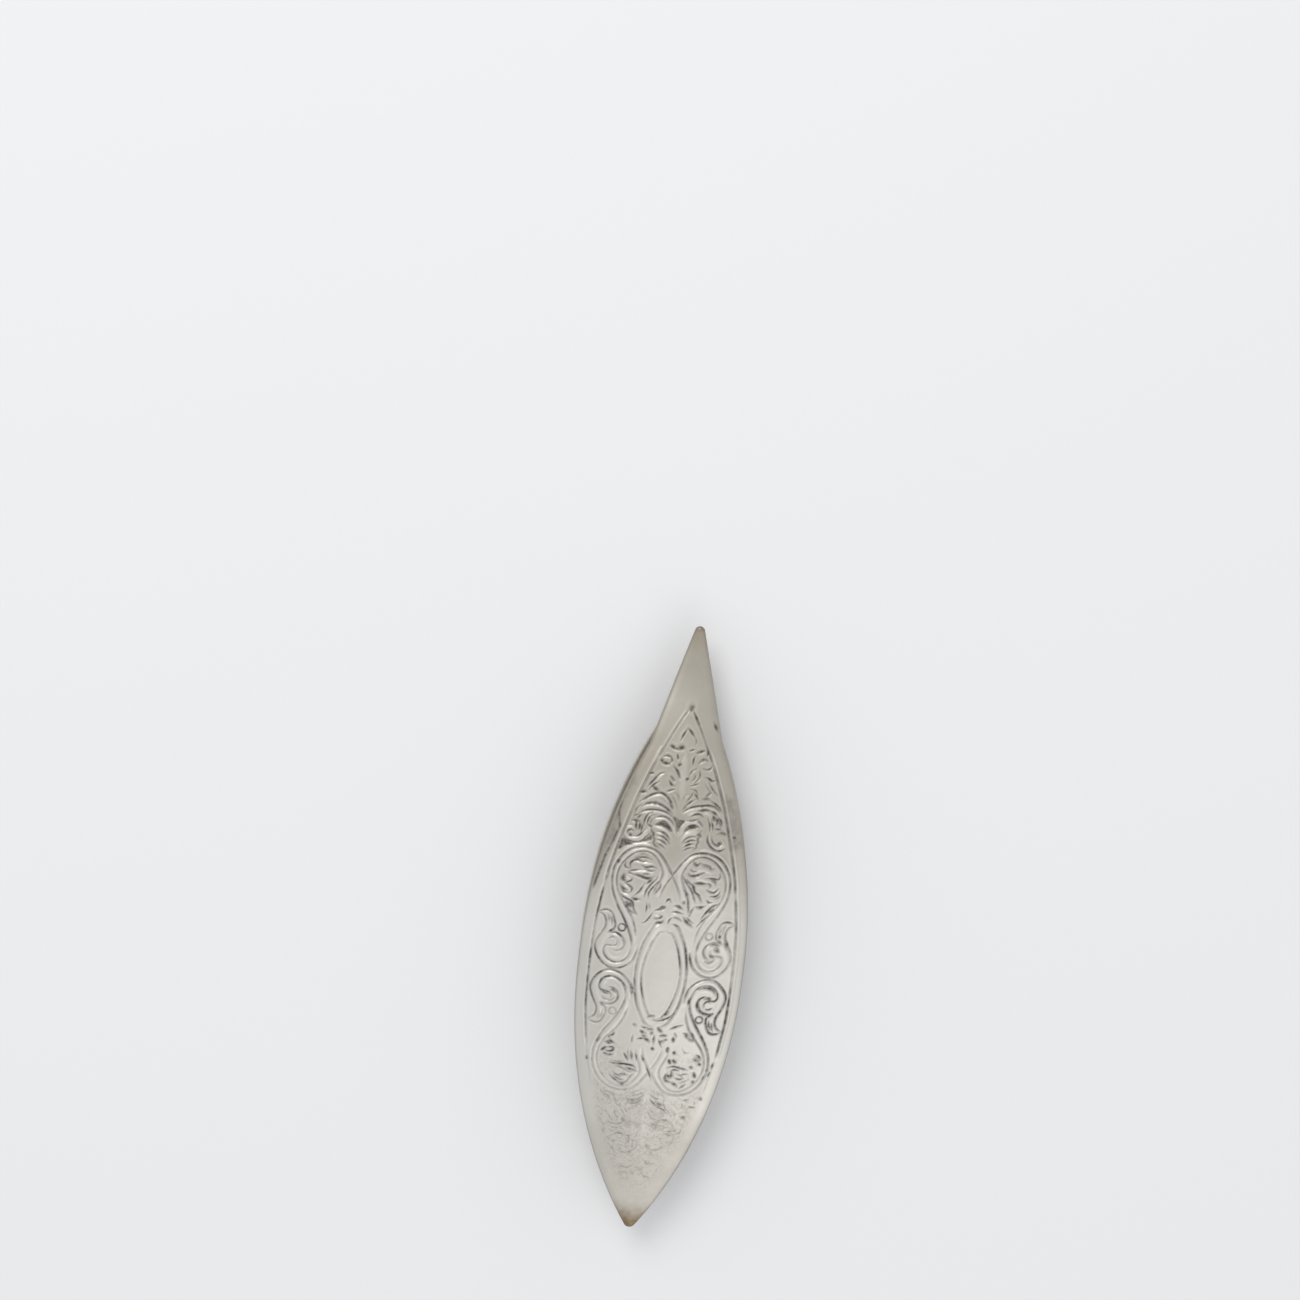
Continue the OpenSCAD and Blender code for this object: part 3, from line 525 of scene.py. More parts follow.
        "heavy": [[(2.6, 16.4), (3.0, 16.0), (3.3, 15.9), (3.6, 16.3)], [(3.6, 16.3), (4.3, 16.0),
            (4.9, 15.8), (5.3, 15.5), (5.6, 15.6)], [(2.1, 14.7), (2.5, 14.4), (3.3, 14.45), (3.9, 14.75),
            (4.3, 15.0)], [(3.0, 13.4), (3.9, 13.4), (4.9, 13.4)], [(3.7, 10.1), (4.3, 10.0), (4.9, 10.2)],
            [(5.6, 9.4), (6.0, 9.6), (6.2, 9.9)], [(3.0, 13.0), (3.2, 12.5)], [(2.2, 11.9), (2.35, 11.4)]],
        "line": [[(2.4, 15.3), (2.8, 15.0), (3.3, 15.1)], [(5.0, 13.5), (5.4, 13.2), (5.3, 12.9)],
            [(5.1, 11.2), (5.4, 10.8), (5.9, 10.8)], [(4.1, 7.2), (4.6, 7.9), (5.2, 8.5), (5.8, 9.2)],
            [(3.0, 8.6), (3.2, 9.5), (3.5, 10.2)], [(1.4, 14.3), (2.1, 13.3), (2.9, 12.2), (3.3, 11.3),
            (3.6, 10.5)], [(1.5, 12.9), (2.1, 11.9), (2.5, 10.9), (2.7, 9.7), (2.9, 8.6)]],
        "cut": [[(4.6, 14.2), (5.3, 14.2), (6.3, 14.1), (6.6, 14.5), (6.5, 15.0)], [(5.4, 14.0),
            (6.0, 13.7), (6.1, 13.35)], [(4.9, 12.6), (5.4, 12.3), (6.0, 12.2), (6.3, 12.5), (6.6, 12.9)],
            [(5.5, 11.7), (6.2, 11.7), (6.6, 12.0), (6.8, 12.4)], [(4.6, 8.4), (5.0, 9.0), (5.5, 9.7),
            (6.1, 10.3), (6.9, 10.7)], [(2.0, 13.9), (2.5, 13.3), (3.0, 13.0), (3.3, 12.2), (3.9, 11.7),
            (4.4, 10.8)]],
        "fine": [[(6.1, 11.3), (6.6, 11.5), (7.0, 11.9)]],
        "pit": [[(2.0, 10.5), (2.0, 10.6)]],
        "thin": [[(2.3, 14.9), (3.0, 14.8), (3.8, 15.2), (4.6, 15.2), (5.4, 14.9)], [(3.3, 14.0),
            (4.2, 13.9), (5.0, 13.8)], [(5.3, 12.6), (6.0, 12.6), (6.3, 13.0)], [(5.7, 12.0), (6.4, 12.1),
            (6.7, 12.6)], [(4.8, 9.3), (5.3, 10.0), (6.0, 10.6), (6.7, 10.9)]],
        "band": [[(1.7, 13.6), (2.3, 12.7), (2.9, 11.7), (3.2, 10.7), (3.2, 9.4)]],
    }),
    "fleuron": (1, {
        "cut": [[(-0.5, 10.3), (-0.1, 10.8), (0.25, 10.4)], [(-1.9, 9.0), (-1.3, 9.2), (-0.9, 9.4)],
            [(-2.0, 7.9), (-1.3, 7.9), (-0.8, 8.25), (-1.2, 8.5)], [(0.7, 8.3), (1.3, 8.25), (2.0, 7.9)],
            [(0.5, 9.1), (1.2, 9.1), (2.1, 8.9)], [(0.7, 7.4), (1.5, 7.1), (2.0, 6.6)]],
        "hollow": [[(-1.25, 9.45), (-0.9, 9.8), (-0.45, 9.7), (-0.55, 9.35), (-1.0, 9.05)]],
        "heavy": [[(-1.8, 7.0), (-1.3, 7.3), (-0.75, 7.4), (-0.6, 7.8)], [(0.8, 10.0), (1.3, 9.9),
            (1.9, 9.6)], [(2.1, 8.5), (2.7, 7.8), (3.5, 7.2)]],
        "line": [[(-3.5, 7.0), (-3.0, 7.2), (-2.5, 7.9), (-2.2, 8.5), (-2.0, 8.8)], [(0.1, 7.3), (0.3, 7.9),
            (0.7, 8.3)], [(2.5, 8.6), (3.1, 8.0), (3.7, 7.7)]],
        "thin": [[(-0.7, 9.1), (-0.3, 8.6), (0.0, 7.6)], [(0.5, 9.5), (1.2, 9.5), (1.9, 9.2)], [(0.4, 8.6),
            (1.2, 8.65), (2.0, 8.3)], [(-1.9, 8.3), (-1.4, 8.2), (-0.9, 8.5)]],
    }),
    "worn_left": (1, {
        "faint": [[(-0.3, -17.4), (-1.5, -18.1), (-2.6, -18.4)], [(-6.2, -19.3), (-5.5, -19.2),
            (-5.0, -19.7), (-4.7, -20.5)], [(-5.5, -21.0), (-5.2, -22.0), (-4.6, -22.8)], [(-4.2, -21.0),
            (-4.0, -22.0), (-3.4, -22.9)], [(-3.2, -23.9), (-2.0, -23.6), (-0.9, -22.8)], [(-5.8, -23.4),
            (-5.3, -24.4), (-4.7, -25.3)], [(-5.9, -24.2), (-5.4, -25.0), (-4.8, -25.8)], [(-4.7, -26.0),
            (-3.8, -26.4), (-3.0, -26.1)], [(-4.4, -26.8), (-3.8, -27.6), (-3.2, -28.4)], [(-0.8, -25.3),
            (-1.1, -26.4), (-0.6, -27.6)], [(-1.6, -24.6), (-1.7, -25.8), (-1.3, -27.0)]],
        "fine": [[(-5.6, -15.6), (-4.8, -16.6), (-3.4, -17.0), (-2.4, -16.6)], [(-5.0, -15.4),
            (-4.2, -15.9), (-3.2, -15.8)], [(-0.6, -24.6), (-1.8, -25.2), (-3.2, -25.0), (-4.2, -25.6)],
            [(-0.6, -27.2), (-1.6, -27.9), (-2.8, -28.0)], [(-0.5, -29.8), (-1.4, -30.4), (-2.2, -30.4)],
            [(-0.3, -18.0), (-1.4, -18.7), (-2.6, -18.9)], [(-0.4, -18.9), (-1.4, -19.6), (-2.6, -19.8)],
            [(-0.5, -19.7), (-1.3, -20.4), (-2.2, -20.9)], [(-6.3, -18.9), (-5.6, -18.7), (-4.9, -18.9),
            (-4.3, -19.6), (-3.9, -20.5)], [(-3.6, -20.6), (-2.9, -21.6), (-2.6, -22.4)], [(-2.9, -20.7),
            (-2.4, -21.4)], [(-5.0, -21.8), (-4.7, -22.6), (-4.0, -23.3)], [(-5.0, -23.0), (-4.3, -23.6),
            (-3.2, -23.5), (-2.4, -22.9)], [(-4.8, -24.0), (-3.7, -24.2), (-2.6, -23.9)], [(-1.2, -25.8),
            (-1.0, -26.0)]],
        "line": [[(-0.3, -18.6), (-1.4, -19.3), (-2.7, -19.5)], [(-0.4, -19.2), (-1.3, -19.9),
            (-2.3, -20.1)]],
        "shade": [[(-1.0, -19.7), (-2.3, -19.6)], [(-2.5, -23.4), (-1.4, -23.1)]],
        "pit": [[(-2.85, -22.7), (-2.75, -22.85)]],
    }),
    "worn_right": (1, {
        "faint": [[(0.4, -17.4), (1.2, -18.0), (2.4, -18.4)], [(0.3, -19.8), (1.0, -20.9), (2.0, -21.6)],
            [(2.4, -23.0), (3.4, -23.4), (4.2, -23.2)], [(3.9, -20.4), (4.4, -21.4), (4.2, -22.2)],
            [(1.1, -27.2), (1.8, -27.9), (2.5, -28.5)], [(0.9, -26.9), (1.6, -26.5)], [(3.2, -25.6),
            (4.2, -25.9), (5.0, -25.4)], [(2.0, -24.9), (2.8, -25.4), (3.0, -26.4)]],
        "fine": [[(3.6, -14.6), (4.5, -15.1), (5.2, -16.0)], [(4.2, -10.8), (4.7, -11.5), (5.4, -11.4)],
            [(0.6, -26.0), (1.2, -26.9), (2.2, -27.2), (3.2, -26.6)], [(0.6, -28.6), (1.4, -29.4),
            (2.4, -29.4)], [(0.6, -31.0), (1.2, -31.6), (1.9, -31.6)], [(0.3, -18.2), (1.2, -18.8),
            (2.2, -19.0)], [(0.3, -20.5), (0.8, -21.6), (1.8, -22.3), (3.0, -22.6)], [(2.4, -19.0),
            (2.8, -20.2), (3.5, -21.0)], [(2.0, -22.3), (3.2, -22.2), (4.2, -22.9), (4.6, -23.6)],
            [(2.8, -24.0), (4.0, -24.0), (5.3, -23.6)], [(3.0, -24.4), (4.2, -24.5), (5.4, -24.1),
            (5.5, -23.4)], [(5.2, -18.9), (6.0, -18.8)], [(5.2, -19.5), (5.25, -19.9)], [(6.9, -19.1),
            (6.95, -19.5)]],
        "heavy": [[(1.4, -19.4), (1.9, -19.7), (2.4, -19.8)]],
        "line": [[(0.5, -18.9), (1.4, -19.9), (2.6, -20.6), (3.2, -21.2)], [(6.2, -19.9), (7.0, -20.0)]],
        "shade": [[(1.3, -19.5), (2.5, -20.2)], [(1.3, -23.0), (2.3, -23.5)]],
        "pit": [[(5.5, -21.6), (5.7, -21.7)], [(7.7, -18.5), (7.75, -18.7)]],
    }),
    "worn_stem": (1, {
        "wide": [[(0.0, -18.0), (0.0, -21.0), (0.05, -24.0), (0.15, -28.0), (0.1, -32.0)]],
    }),
    "scroll_marks": (1, {
        "heavy": [[(6.1, 4.55), (6.8, 4.8), (7.6, 4.6)], [(7.0, 4.05), (7.6, 3.75)], [(6.5, 3.15),
            (7.0, 2.85)], [(8.35, 5.8), (8.5, 4.9), (8.75, 4.1)], [(-6.6, -3.3), (-6.2, -3.4),
            (-5.9, -3.75)], [(-3.95, -1.8), (-3.65, -2.7), (-3.45, -3.5)], [(5.3, -2.0), (6.3, -1.6),
            (7.4, -1.85), (7.9, -2.6)], [(6.4, -3.3), (7.1, -3.2), (7.3, -3.8)], [(5.6, -3.7), (5.75, -4.7),
            (6.4, -5.4), (7.8, -5.7)], [(4.35, -3.2), (4.35, -4.4)], [(0.8, -6.3), (1.3, -5.9),
            (1.7, -5.4)]],
        "cut": [[(5.8, 2.3), (6.5, 2.1), (7.2, 2.6)], [(-8.3, -3.0), (-8.0, -2.0), (-7.1, -1.4),
            (-6.1, -1.4), (-5.2, -1.9), (-4.4, -2.7)], [(8.0, -1.0), (9.0, -2.0), (9.4, -3.0)],
            [(-0.4, -6.9), (0.6, -6.95), (1.6, -6.5), (2.3, -5.8)]],
        "pit": [[(7.5, 6.0), (7.5, 5.85)]],
        "line": [[(-8.1, -3.6), (-7.4, -3.9), (-6.5, -3.9)]],
        "fine": [[(-7.7, -4.6), (-6.6, -4.9), (-5.8, -4.2)]],
    }),
}

# The small ring in each quarter, from the ornament's middle
RING_CENTRE = (6.05, 6.17)
RING_RADIUS = 0.5

# Where the black in the ornament's lines is stronger or fainter than INK_BASE, from tarnish in the lines and
# from painted shade on the lines that face away from the light: place, reach and how much
INK_BASE = 0.42
INK_AND_SHADE_PATCHES = [
    (-6.0, 14.0, 4.5, 0.3), (-5.0, 6.0, 1.8, 0.6), (-6.6, 8.4, 1.5, 0.4), (-6.1, 6.0, 0.9, 0.6),
    (-9.0, 7.6, 1.2, 0.5), (-6.9, 5.0, 1.2, 0.6), (-9.3, 1.2, 1.3, 0.6), (-7.0, 0.9, 1.6, 0.4),
    (-9.5, 9.5, 1.8, 0.6), (-10.0, -4.0, 5.5, 0.5), (-6.5, -2.2, 2.8, 0.4), (-2.3, -2.5, 1.6, 0.7),
    (2.2, 3.0, 1.8, 0.5), (3.3, 2.6, 1.8, 0.6), (1.5, -5.3, 1.3, 0.6), (7.0, -4.0, 3.3, 0.8),
    (8.4, -7.6, 1.5, 0.5), (9.5, -6.0, 3.5, 0.5), (9.2, -10.2, 0.9, 0.7), (6.5, -9.0, 1.9, 0.6),
    (7.9, -11.8, 1.8, 0.25), (4.35, -3.9, 0.6, 0.8), (7.0, 4.4, 1.5, 0.4), (8.5, 4.9, 0.8, 0.9),
    (9.4, 7.4, 0.8, 0.6), (8.3, 7.9, 0.6, 0.5), (9.0, 10.8, 1.0, 0.6), (8.6, 13.0, 0.9, 0.5),
    (8.2, 15.5, 0.9, 0.4), (6.6, 16.4, 1.4, 0.5), (4.0, 17.6, 2.0, 0.4), (0.0, 14.2, 0.6, 0.6),
    (0.0, 20.8, 1.0, 0.6), (-1.8, 20.8, 1.4, 0.6), (1.8, 20.8, 1.4, 0.5), (6.4, 20.4, 0.9, 0.6),
    (5.3, 22.2, 1.0, 0.5), (-1.0, 22.3, 2.0, 0.3), (0.0, 31.8, 1.0, 0.4), (3.0, 30.3, 1.0, 0.5),
    (-2.5, 30.4, 1.0, 0.5), (0.9, 34.0, 1.0, 0.2), (-6.5, -6.6, 2.3, -0.3),
    (-7.0, -0.2, 0.9, -0.5), (-3.7, -2.4, 0.9, -0.4),
    (0.0, -22.0, 7.0, -0.22), (0.0, -32.0, 9.0, -0.3), (-3.0, -13.5, 3.5, -0.1), (0.0, 21.0, 7.0, 0.25),
    (0.0, 28.0, 5.0, 0.2), (-7.9, 24.0, 4.0, -0.35), (-4.8, 31.0, 4.0, -0.4),
]


def nearest_on(line, x, y):
    """Distance of each place to a line of points, and how far along the line that is, in millimetres."""
    start = line[:-1]
    leg = line[1:] - start
    length = np.maximum(np.hypot(leg[:, 0], leg[:, 1]), 1e-9)
    to_x = x[:, None] - start[:, 0]
    to_y = y[:, None] - start[:, 1]
    t = np.clip((to_x * leg[:, 0] + to_y * leg[:, 1]) / length ** 2, 0, 1)
    apart = np.hypot(to_x - t * leg[:, 0], to_y - t * leg[:, 1])
    pick = np.argmin(apart, axis=1)
    rows = np.arange(len(x))
    run = np.concatenate([[0], np.cumsum(length)])
    return apart[rows, pick], run[pick] + t[rows, pick] * length[pick], run[-1]


def within(line, x, y):
    """Whether each place lies inside a closed line: a ray from it crosses that an odd number of times."""
    start = line[:-1]
    stop = line[1:]
    crosses = (start[:, 1] > y[:, None]) != (stop[:, 1] > y[:, None])
    rise = stop[:, 1] - start[:, 1]
    rise = np.where(np.abs(rise) < 1e-9, 1e-9, rise)
    meets = start[:, 0] + (y[:, None] - start[:, 1]) * (stop[:, 0] - start[:, 0]) / rise
    return (crosses & (x[:, None] < meets)).sum(axis=1) % 2 == 1


def marks_to_make():
    """Every mark as its kind, its line, whether it tapers, and how many times it is repeated."""
    ring = circle_points(*RING_CENTRE, RING_RADIUS)
    marks = [("line", along_spline(ring, closed=True), False, 4)]
    for fold, kinds in ORNAMENT.values():
        for kind, strokes in kinds.items():
            closed = kind == "hollow"
            marks.extend((kind, along_spline(points, closed), not closed, fold) for points in strokes)
    return marks


def chasing(x, y, relief):
    """Height that the ornament adds at each place, how black the place is and how rubbed, from 0 to 1.

    A groove takes its depth times exp(-(d/w)^2), at a distance d from its line, with a lip thrown up beside
    it; a band adds a dome of 1 - (d/w)^2; a hollow sinks to its full depth over w inside its outline. Of
    grooves that meet the deepest counts, and of bands the highest. Marks thin out towards their ends. Down
    the lower end the relief is worn to less than half, and past the worn leaves to nothing. Bands are
    rubbed bright.
    """
    across = np.abs(x)
    along = np.abs(y - ORNAMENT_Y)
    folded = {4: (across, along), 2: (across, y), 1: (x, y)}
    groove = np.zeros_like(x)
    lip = np.zeros_like(x)
    raised = np.zeros_like(x)
    shared_ink = np.zeros_like(x)
    own_ink_and_shade = np.zeros_like(x)
    for kind, line, tapers, fold in marks_to_make():
        width, depth, thrown, black = MARKS[kind]
        at_x, at_y = folded[fold]
        margin = MARK_REACH * width
        low = line.min(axis=0) - margin
        high = line.max(axis=0) + margin
        near = (at_x > low[0]) & (at_x < high[0]) & (at_y > low[1]) & (at_y < high[1])
        if not near.any():
            continue
        apart, run, total = nearest_on(line, at_x[near], at_y[near])
        ink = own_ink_and_shade if fold == 1 else shared_ink
        if kind == "hollow":
            inside = np.where(within(line, at_x[near], at_y[near]), apart, -apart)
            sunk = ramp(inside, -width / 2, width / 2)
            groove[near] = np.maximum(groove[near], depth * sunk)
            ink[near] = np.maximum(ink[near], black * sunk)
            continue
        end = np.ones_like(apart)
        if tapers:
            fade = min(0.9, 0.4 * total) + 1e-6
            least = min(1.0, max(0.45, 1.05 - 0.45 * total))
            end = least + (1 - least) * np.clip(np.minimum(run, total - run) / fade, 0, 1)
        wide = width * end
        if depth < 0:
            dome = np.clip(1 - (apart / wide) ** 2, 0, 1)
            raised[near] = np.maximum(raised[near], -depth * end * dome)
            continue
        groove[near] = np.maximum(groove[near], depth * np.exp(-(apart / wide) ** 2) * end)
        beside = (apart - LIP_PLACE * width) / width
        lip[near] = np.maximum(lip[near], thrown * end * np.exp(-beside ** 2))
        ink[near] = np.maximum(ink[near], black * np.exp(-(apart / (INK_SPREAD * wide)) ** 2) * end)
    wear = 1 - 0.55 * ramp(-y, 8, 20) - 0.45 * ramp(-y, 22, 33)
    risen = (raised + lip) * (1 - ramp(groove, 0, CLEARING_DEPTH))
    # The patches paint shade into the shared lines, on top of their tarnish
    gain = np.full_like(x, INK_BASE)
    for patch_x, patch_y, reach, more in INK_AND_SHADE_PATCHES:
        gain += more * np.exp(-((x - patch_x) ** 2 + (y - patch_y) ** 2) / reach ** 2)
    own_ink_and_shade *= 1 - 0.3 * ramp(-y, 16.5, 18.5)
    black = np.clip(np.maximum(shared_ink * np.clip(gain, 0, 1.3), own_ink_and_shade), 0, 1)
    return relief * wear * (risen - groove), black, ramp(risen * wear, 0, BRIGHT_HEIGHT)


def stations_along(start, end):
    """Places of the blade's rows along y: close together in the ornament and closer still at the points."""
    nose_length = 1.2
    nose_rows = 14
    nose = nose_length * (np.arange(1, nose_rows + 1) / nose_rows) ** 2
    back = start + nose
    front = end - nose[::-1]
    worn_end = -20
    worn_step = 0.2
    worn = np.arange(back[-1] + worn_step, worn_end, worn_step)
    dense_step = 0.145
    dense = np.arange(worn[-1] + dense_step, FRAME_END + 0.2, dense_step)
    plain_step = 0.4
    plain_rows = max(4, int((front[0] - dense[-1]) / plain_step))
    plain = np.linspace(dense[-1] + 0.25, front[0] - 0.2, plain_rows)
    return np.concatenate([back, worn, dense, plain, front])


def blade_surface(form, sizes, edge_black):
    """Points, faces and attributes of one blade as a closed sheet, in millimetres.

    A row at each y runs round the sheet's section: across the outer face at x = s (w - e), round the
    edge by a half turn, where the height passes from the outer face to the inner one as a cosine, and
    back across the inner face. Rows shrink to the mid face at the two points, and a pole closes each.
    The attributes say how black and how rubbed a point is, painted shade included, how near the edge it
    lies, which paints it black by edge_black as shade with some tarnish and makes it matt by the rest of 1,
    and whether it is on the outer face.
    """
    steps_across = 142
    steps_in_rim = 7
    steps_under = 12
    steps_in_edge = 6
    rim_share = 0.905
    black_reach = 0.16
    matt_reach = 0.8
    edge_round = sizes.edge_round / MM
    y = stations_along(-HALF_LENGTH, form.end)
    width = form.half_width(y)
    slope = np.hypot(1, np.gradient(width, y))
    edge = np.minimum(edge_round * slope, 0.55 * width)
    flat = width - edge
    inner = np.linspace(-rim_share, rim_share, steps_across + 1)
    outer = np.linspace(rim_share, 1.0, steps_in_rim + 1)[1:]
    s = np.concatenate([-outer[::-1], inner, outer])
    half_turn = np.pi * np.arange(1, steps_in_edge) / steps_in_edge
    back = np.linspace(1, -1, steps_under + 1)
    x = np.concatenate([
        s * flat[:, None],
        flat[:, None] + edge[:, None] * np.sin(half_turn),
        back * flat[:, None],
        -flat[:, None] - edge[:, None] * np.sin(half_turn[::-1]),
    ], axis=1)
    cosine = np.concatenate([
        np.ones(len(s)), np.cos(half_turn), -np.ones(len(back)), np.cos(half_turn[::-1])])
    rows = np.repeat(y[:, None], x.shape[1], axis=1)
    top = form.face(x, rows, 0)
    bottom = form.face(x, rows, form.sheet)
    inset = np.clip(width[:, None] - np.abs(x), 0, None) / slope[:, None]
    rim_roll = sizes.rim_roll / MM
    roll = rim_roll * (1 - ramp(inset, 0, sizes.rim_roll_width / MM)) ** 2
    top -= roll
    bottom -= roll
    relief = np.zeros_like(x)
    ink = np.zeros_like(x)
    rubbed = np.zeros_like(x)
    count = len(s)
    found = chasing(x[:, :count].ravel(), rows[:, :count].ravel(), sizes.relief)
    for each, values in zip((relief, ink, rubbed), found):
        each[:, :count] = values.reshape(-1, count)
    nose = ramp(np.minimum(form.end - y, y + HALF_LENGTH), 0, edge_round)
    nose = np.sqrt(1 - (1 - nose) ** 2)[:, None]
    middle = (top + bottom) / 2
    z = middle + nose * (top - bottom) / 2 * cosine + relief
    poles = np.array([[0, -HALF_LENGTH, 0], [0, form.end, 0]], dtype=float)
    pole_faces = [form.face(poles[:, 0], poles[:, 1], depth) for depth in (0, form.sheet)]
    poles[:, 2] = (pole_faces[0] + pole_faces[1]) / 2 - rim_roll
    points = np.vstack([np.stack([x, rows, z], axis=-1).reshape(-1, 3), poles])
    ring = x.shape[1]
    i = np.arange(ring)
    ahead = (i + 1) % ring
    base = np.arange(len(y) - 1)[:, None] * ring
    corners = [base + i, base + ahead, base + ring + ahead, base + ring + i]
    quads = np.stack(corners, axis=-1).reshape(-1, 4)
    last = (len(y) - 1) * ring
    start_pole = len(points) - 2
    end_pole = len(points) - 1
    fans = np.vstack([
        np.stack([ahead, i, np.full(ring, start_pole)], axis=-1),
        np.stack([last + i, last + ahead, np.full(ring, end_pole)], axis=-1),
    ])
    # The first attribute carries the black of the lines and also the painted shade of the shade marks
    marks = {
        "ink": np.append(ink, [0, 0]),
        "rubbed": np.append(rubbed, [0, 0]),
        "edge": np.append(edge_black * np.exp(-(inset / black_reach) ** 2), [edge_black, edge_black]),
        "matt": np.append((1 - edge_black) * np.exp(-(inset / matt_reach) ** 2), [0, 0]),
        "outside": np.append(np.repeat(0.5 + 0.5 * cosine[None], len(y), axis=0), [0.5, 0.5]),
    }
    return points, quads, fans, marks


def add_mesh(name, points, quads, fans, marks=None):
    """A smooth-shaded object in the scene from points in millimetres, and its point attributes."""
    mesh = bpy.data.meshes.new(name)
    mesh.from_pydata((points * MM).tolist(), [], quads.tolist() + fans.tolist())
    mesh.polygons.foreach_set("use_smooth", np.ones(len(mesh.polygons), dtype=bool))
    for label, values in (marks or {}).items():
        attribute = mesh.attributes.new(label, "FLOAT", "POINT")
        attribute.data.foreach_set("value", values.astype(np.float32))
    mesh.update()
    piece = bpy.data.objects.new(name, mesh)
    bpy.context.scene.collection.objects.link(piece)
    return piece


class Value:
    """A shader socket: sums and products of it, with numbers or with other values, add Math nodes."""

    def __init__(self, shader, socket):
        self.shader = shader
        self.socket = socket

    def math(self, operation, *others):
        inputs = dict(enumerate((self,) + others))
        return self.shader.node("ShaderNodeMath", {"operation": operation}, inputs)

    def __add__(self, other):
        return self.math("ADD", other)

    def __sub__(self, other):
        return self.math("SUBTRACT", other)

    def __rsub__(self, other):
        return self.shader.node("ShaderNodeMath", {"operation": "SUBTRACT"}, {0: other, 1: self})

    def __mul__(self, other):
        return self.math("MULTIPLY", other)

    def __pow__(self, other):
        return self.math("POWER", other)

    __radd__ = __add__
    __rmul__ = __mul__

    def clamped(self):
        return self.shader.node("ShaderNodeClamp", {}, {"Value": self})

    def between(self, low, high):
        """0 below low, 1 above high, and a smooth step from one to the other."""
        return self.shader.node(
            "ShaderNodeMapRange", {"interpolation_type": "SMOOTHSTEP"},
            {"Value": self, "From Min": low, "From Max": high})


class Shader:
    """A material's node tree. Its node method adds any node from its type, settings and inputs."""

    def __init__(self, name):
        self.material = bpy.data.materials.new(name)
        self.material.use_nodes = True
        self.tree = self.material.node_tree
        self.tree.nodes.clear()

    def node(self, kind, settings=None, inputs=None, output=0):
        node = self.tree.nodes.new(kind)
        for name, value in (settings or {}).items():
            if name == "stops":
                self.set_stops(node.color_ramp, value)
            else:
                setattr(node, name, value)
        for name, value in (inputs or {}).items():
            if isinstance(value, Value):
                self.tree.links.new(value.socket, node.inputs[name])
            else:
                node.inputs[name].default_value = value
        return Value(self, node.outputs[output]) if len(node.outputs) else node

    def set_stops(self, ramp, stops):
        while len(ramp.elements) < len(stops):
            ramp.elements.new(0.5)
        for element, (position, colour) in zip(ramp.elements, stops):
            element.position = position
            element.color = (*colour, 1.0)

    def mix(self, factor, first, second):
        """A colour between two colours."""
        sides = [c if isinstance(c, Value) else (*c, 1.0) for c in (first, second)]
        node = self.tree.nodes.new("ShaderNodeMix")
        node.data_type = "RGBA"
        for socket, value in zip((node.inputs[0], node.inputs[6], node.inputs[7]), [factor] + sides):
            if isinstance(value, Value):
                self.tree.links.new(value.socket, socket)
            else:
                socket.default_value = value
        return Value(self, node.outputs[2])

    def noise(self, place, scale, detail, roughness, distortion=0.0):
        """Smooth noise from 0 to 1, with scale cycles to a millimetre."""
        return self.node("ShaderNodeTexNoise", {}, {
            "Vector": place, "Scale": scale, "Detail": detail, "Roughness": roughness,
            "Distortion": distortion})

    def attribute(self, name):
        """A point attribute of the mesh, as a number."""
        return self.node("ShaderNodeAttribute", {"attribute_name": name}, output=2)

    def place(self):
        """Object coordinates, in millimetres."""
        coordinates = self.node("ShaderNodeTexCoord", output=3)
        return self.node("ShaderNodeMapping", {}, {"Vector": coordinates, "Scale": (1 / MM, 1 / MM, 1 / MM)})

    def parts(self, vector):
        """The x, y and z of a vector."""
        node = self.tree.nodes.new("ShaderNodeSeparateXYZ")
        self.tree.links.new(vector.socket, node.inputs[0])
        return [Value(self, node.outputs[k]) for k in range(3)]

    def finish(self, **inputs):
        """The surface shader with its inputs, set on the sockets or linked to them."""
        sockets = {name.replace("_", " "): value for name, value in inputs.items()}
        surface = self.node("ShaderNodeBsdfPrincipled", {}, sockets)
        self.node("ShaderNodeOutputMaterial", {}, {"Surface": surface})
        return self.material


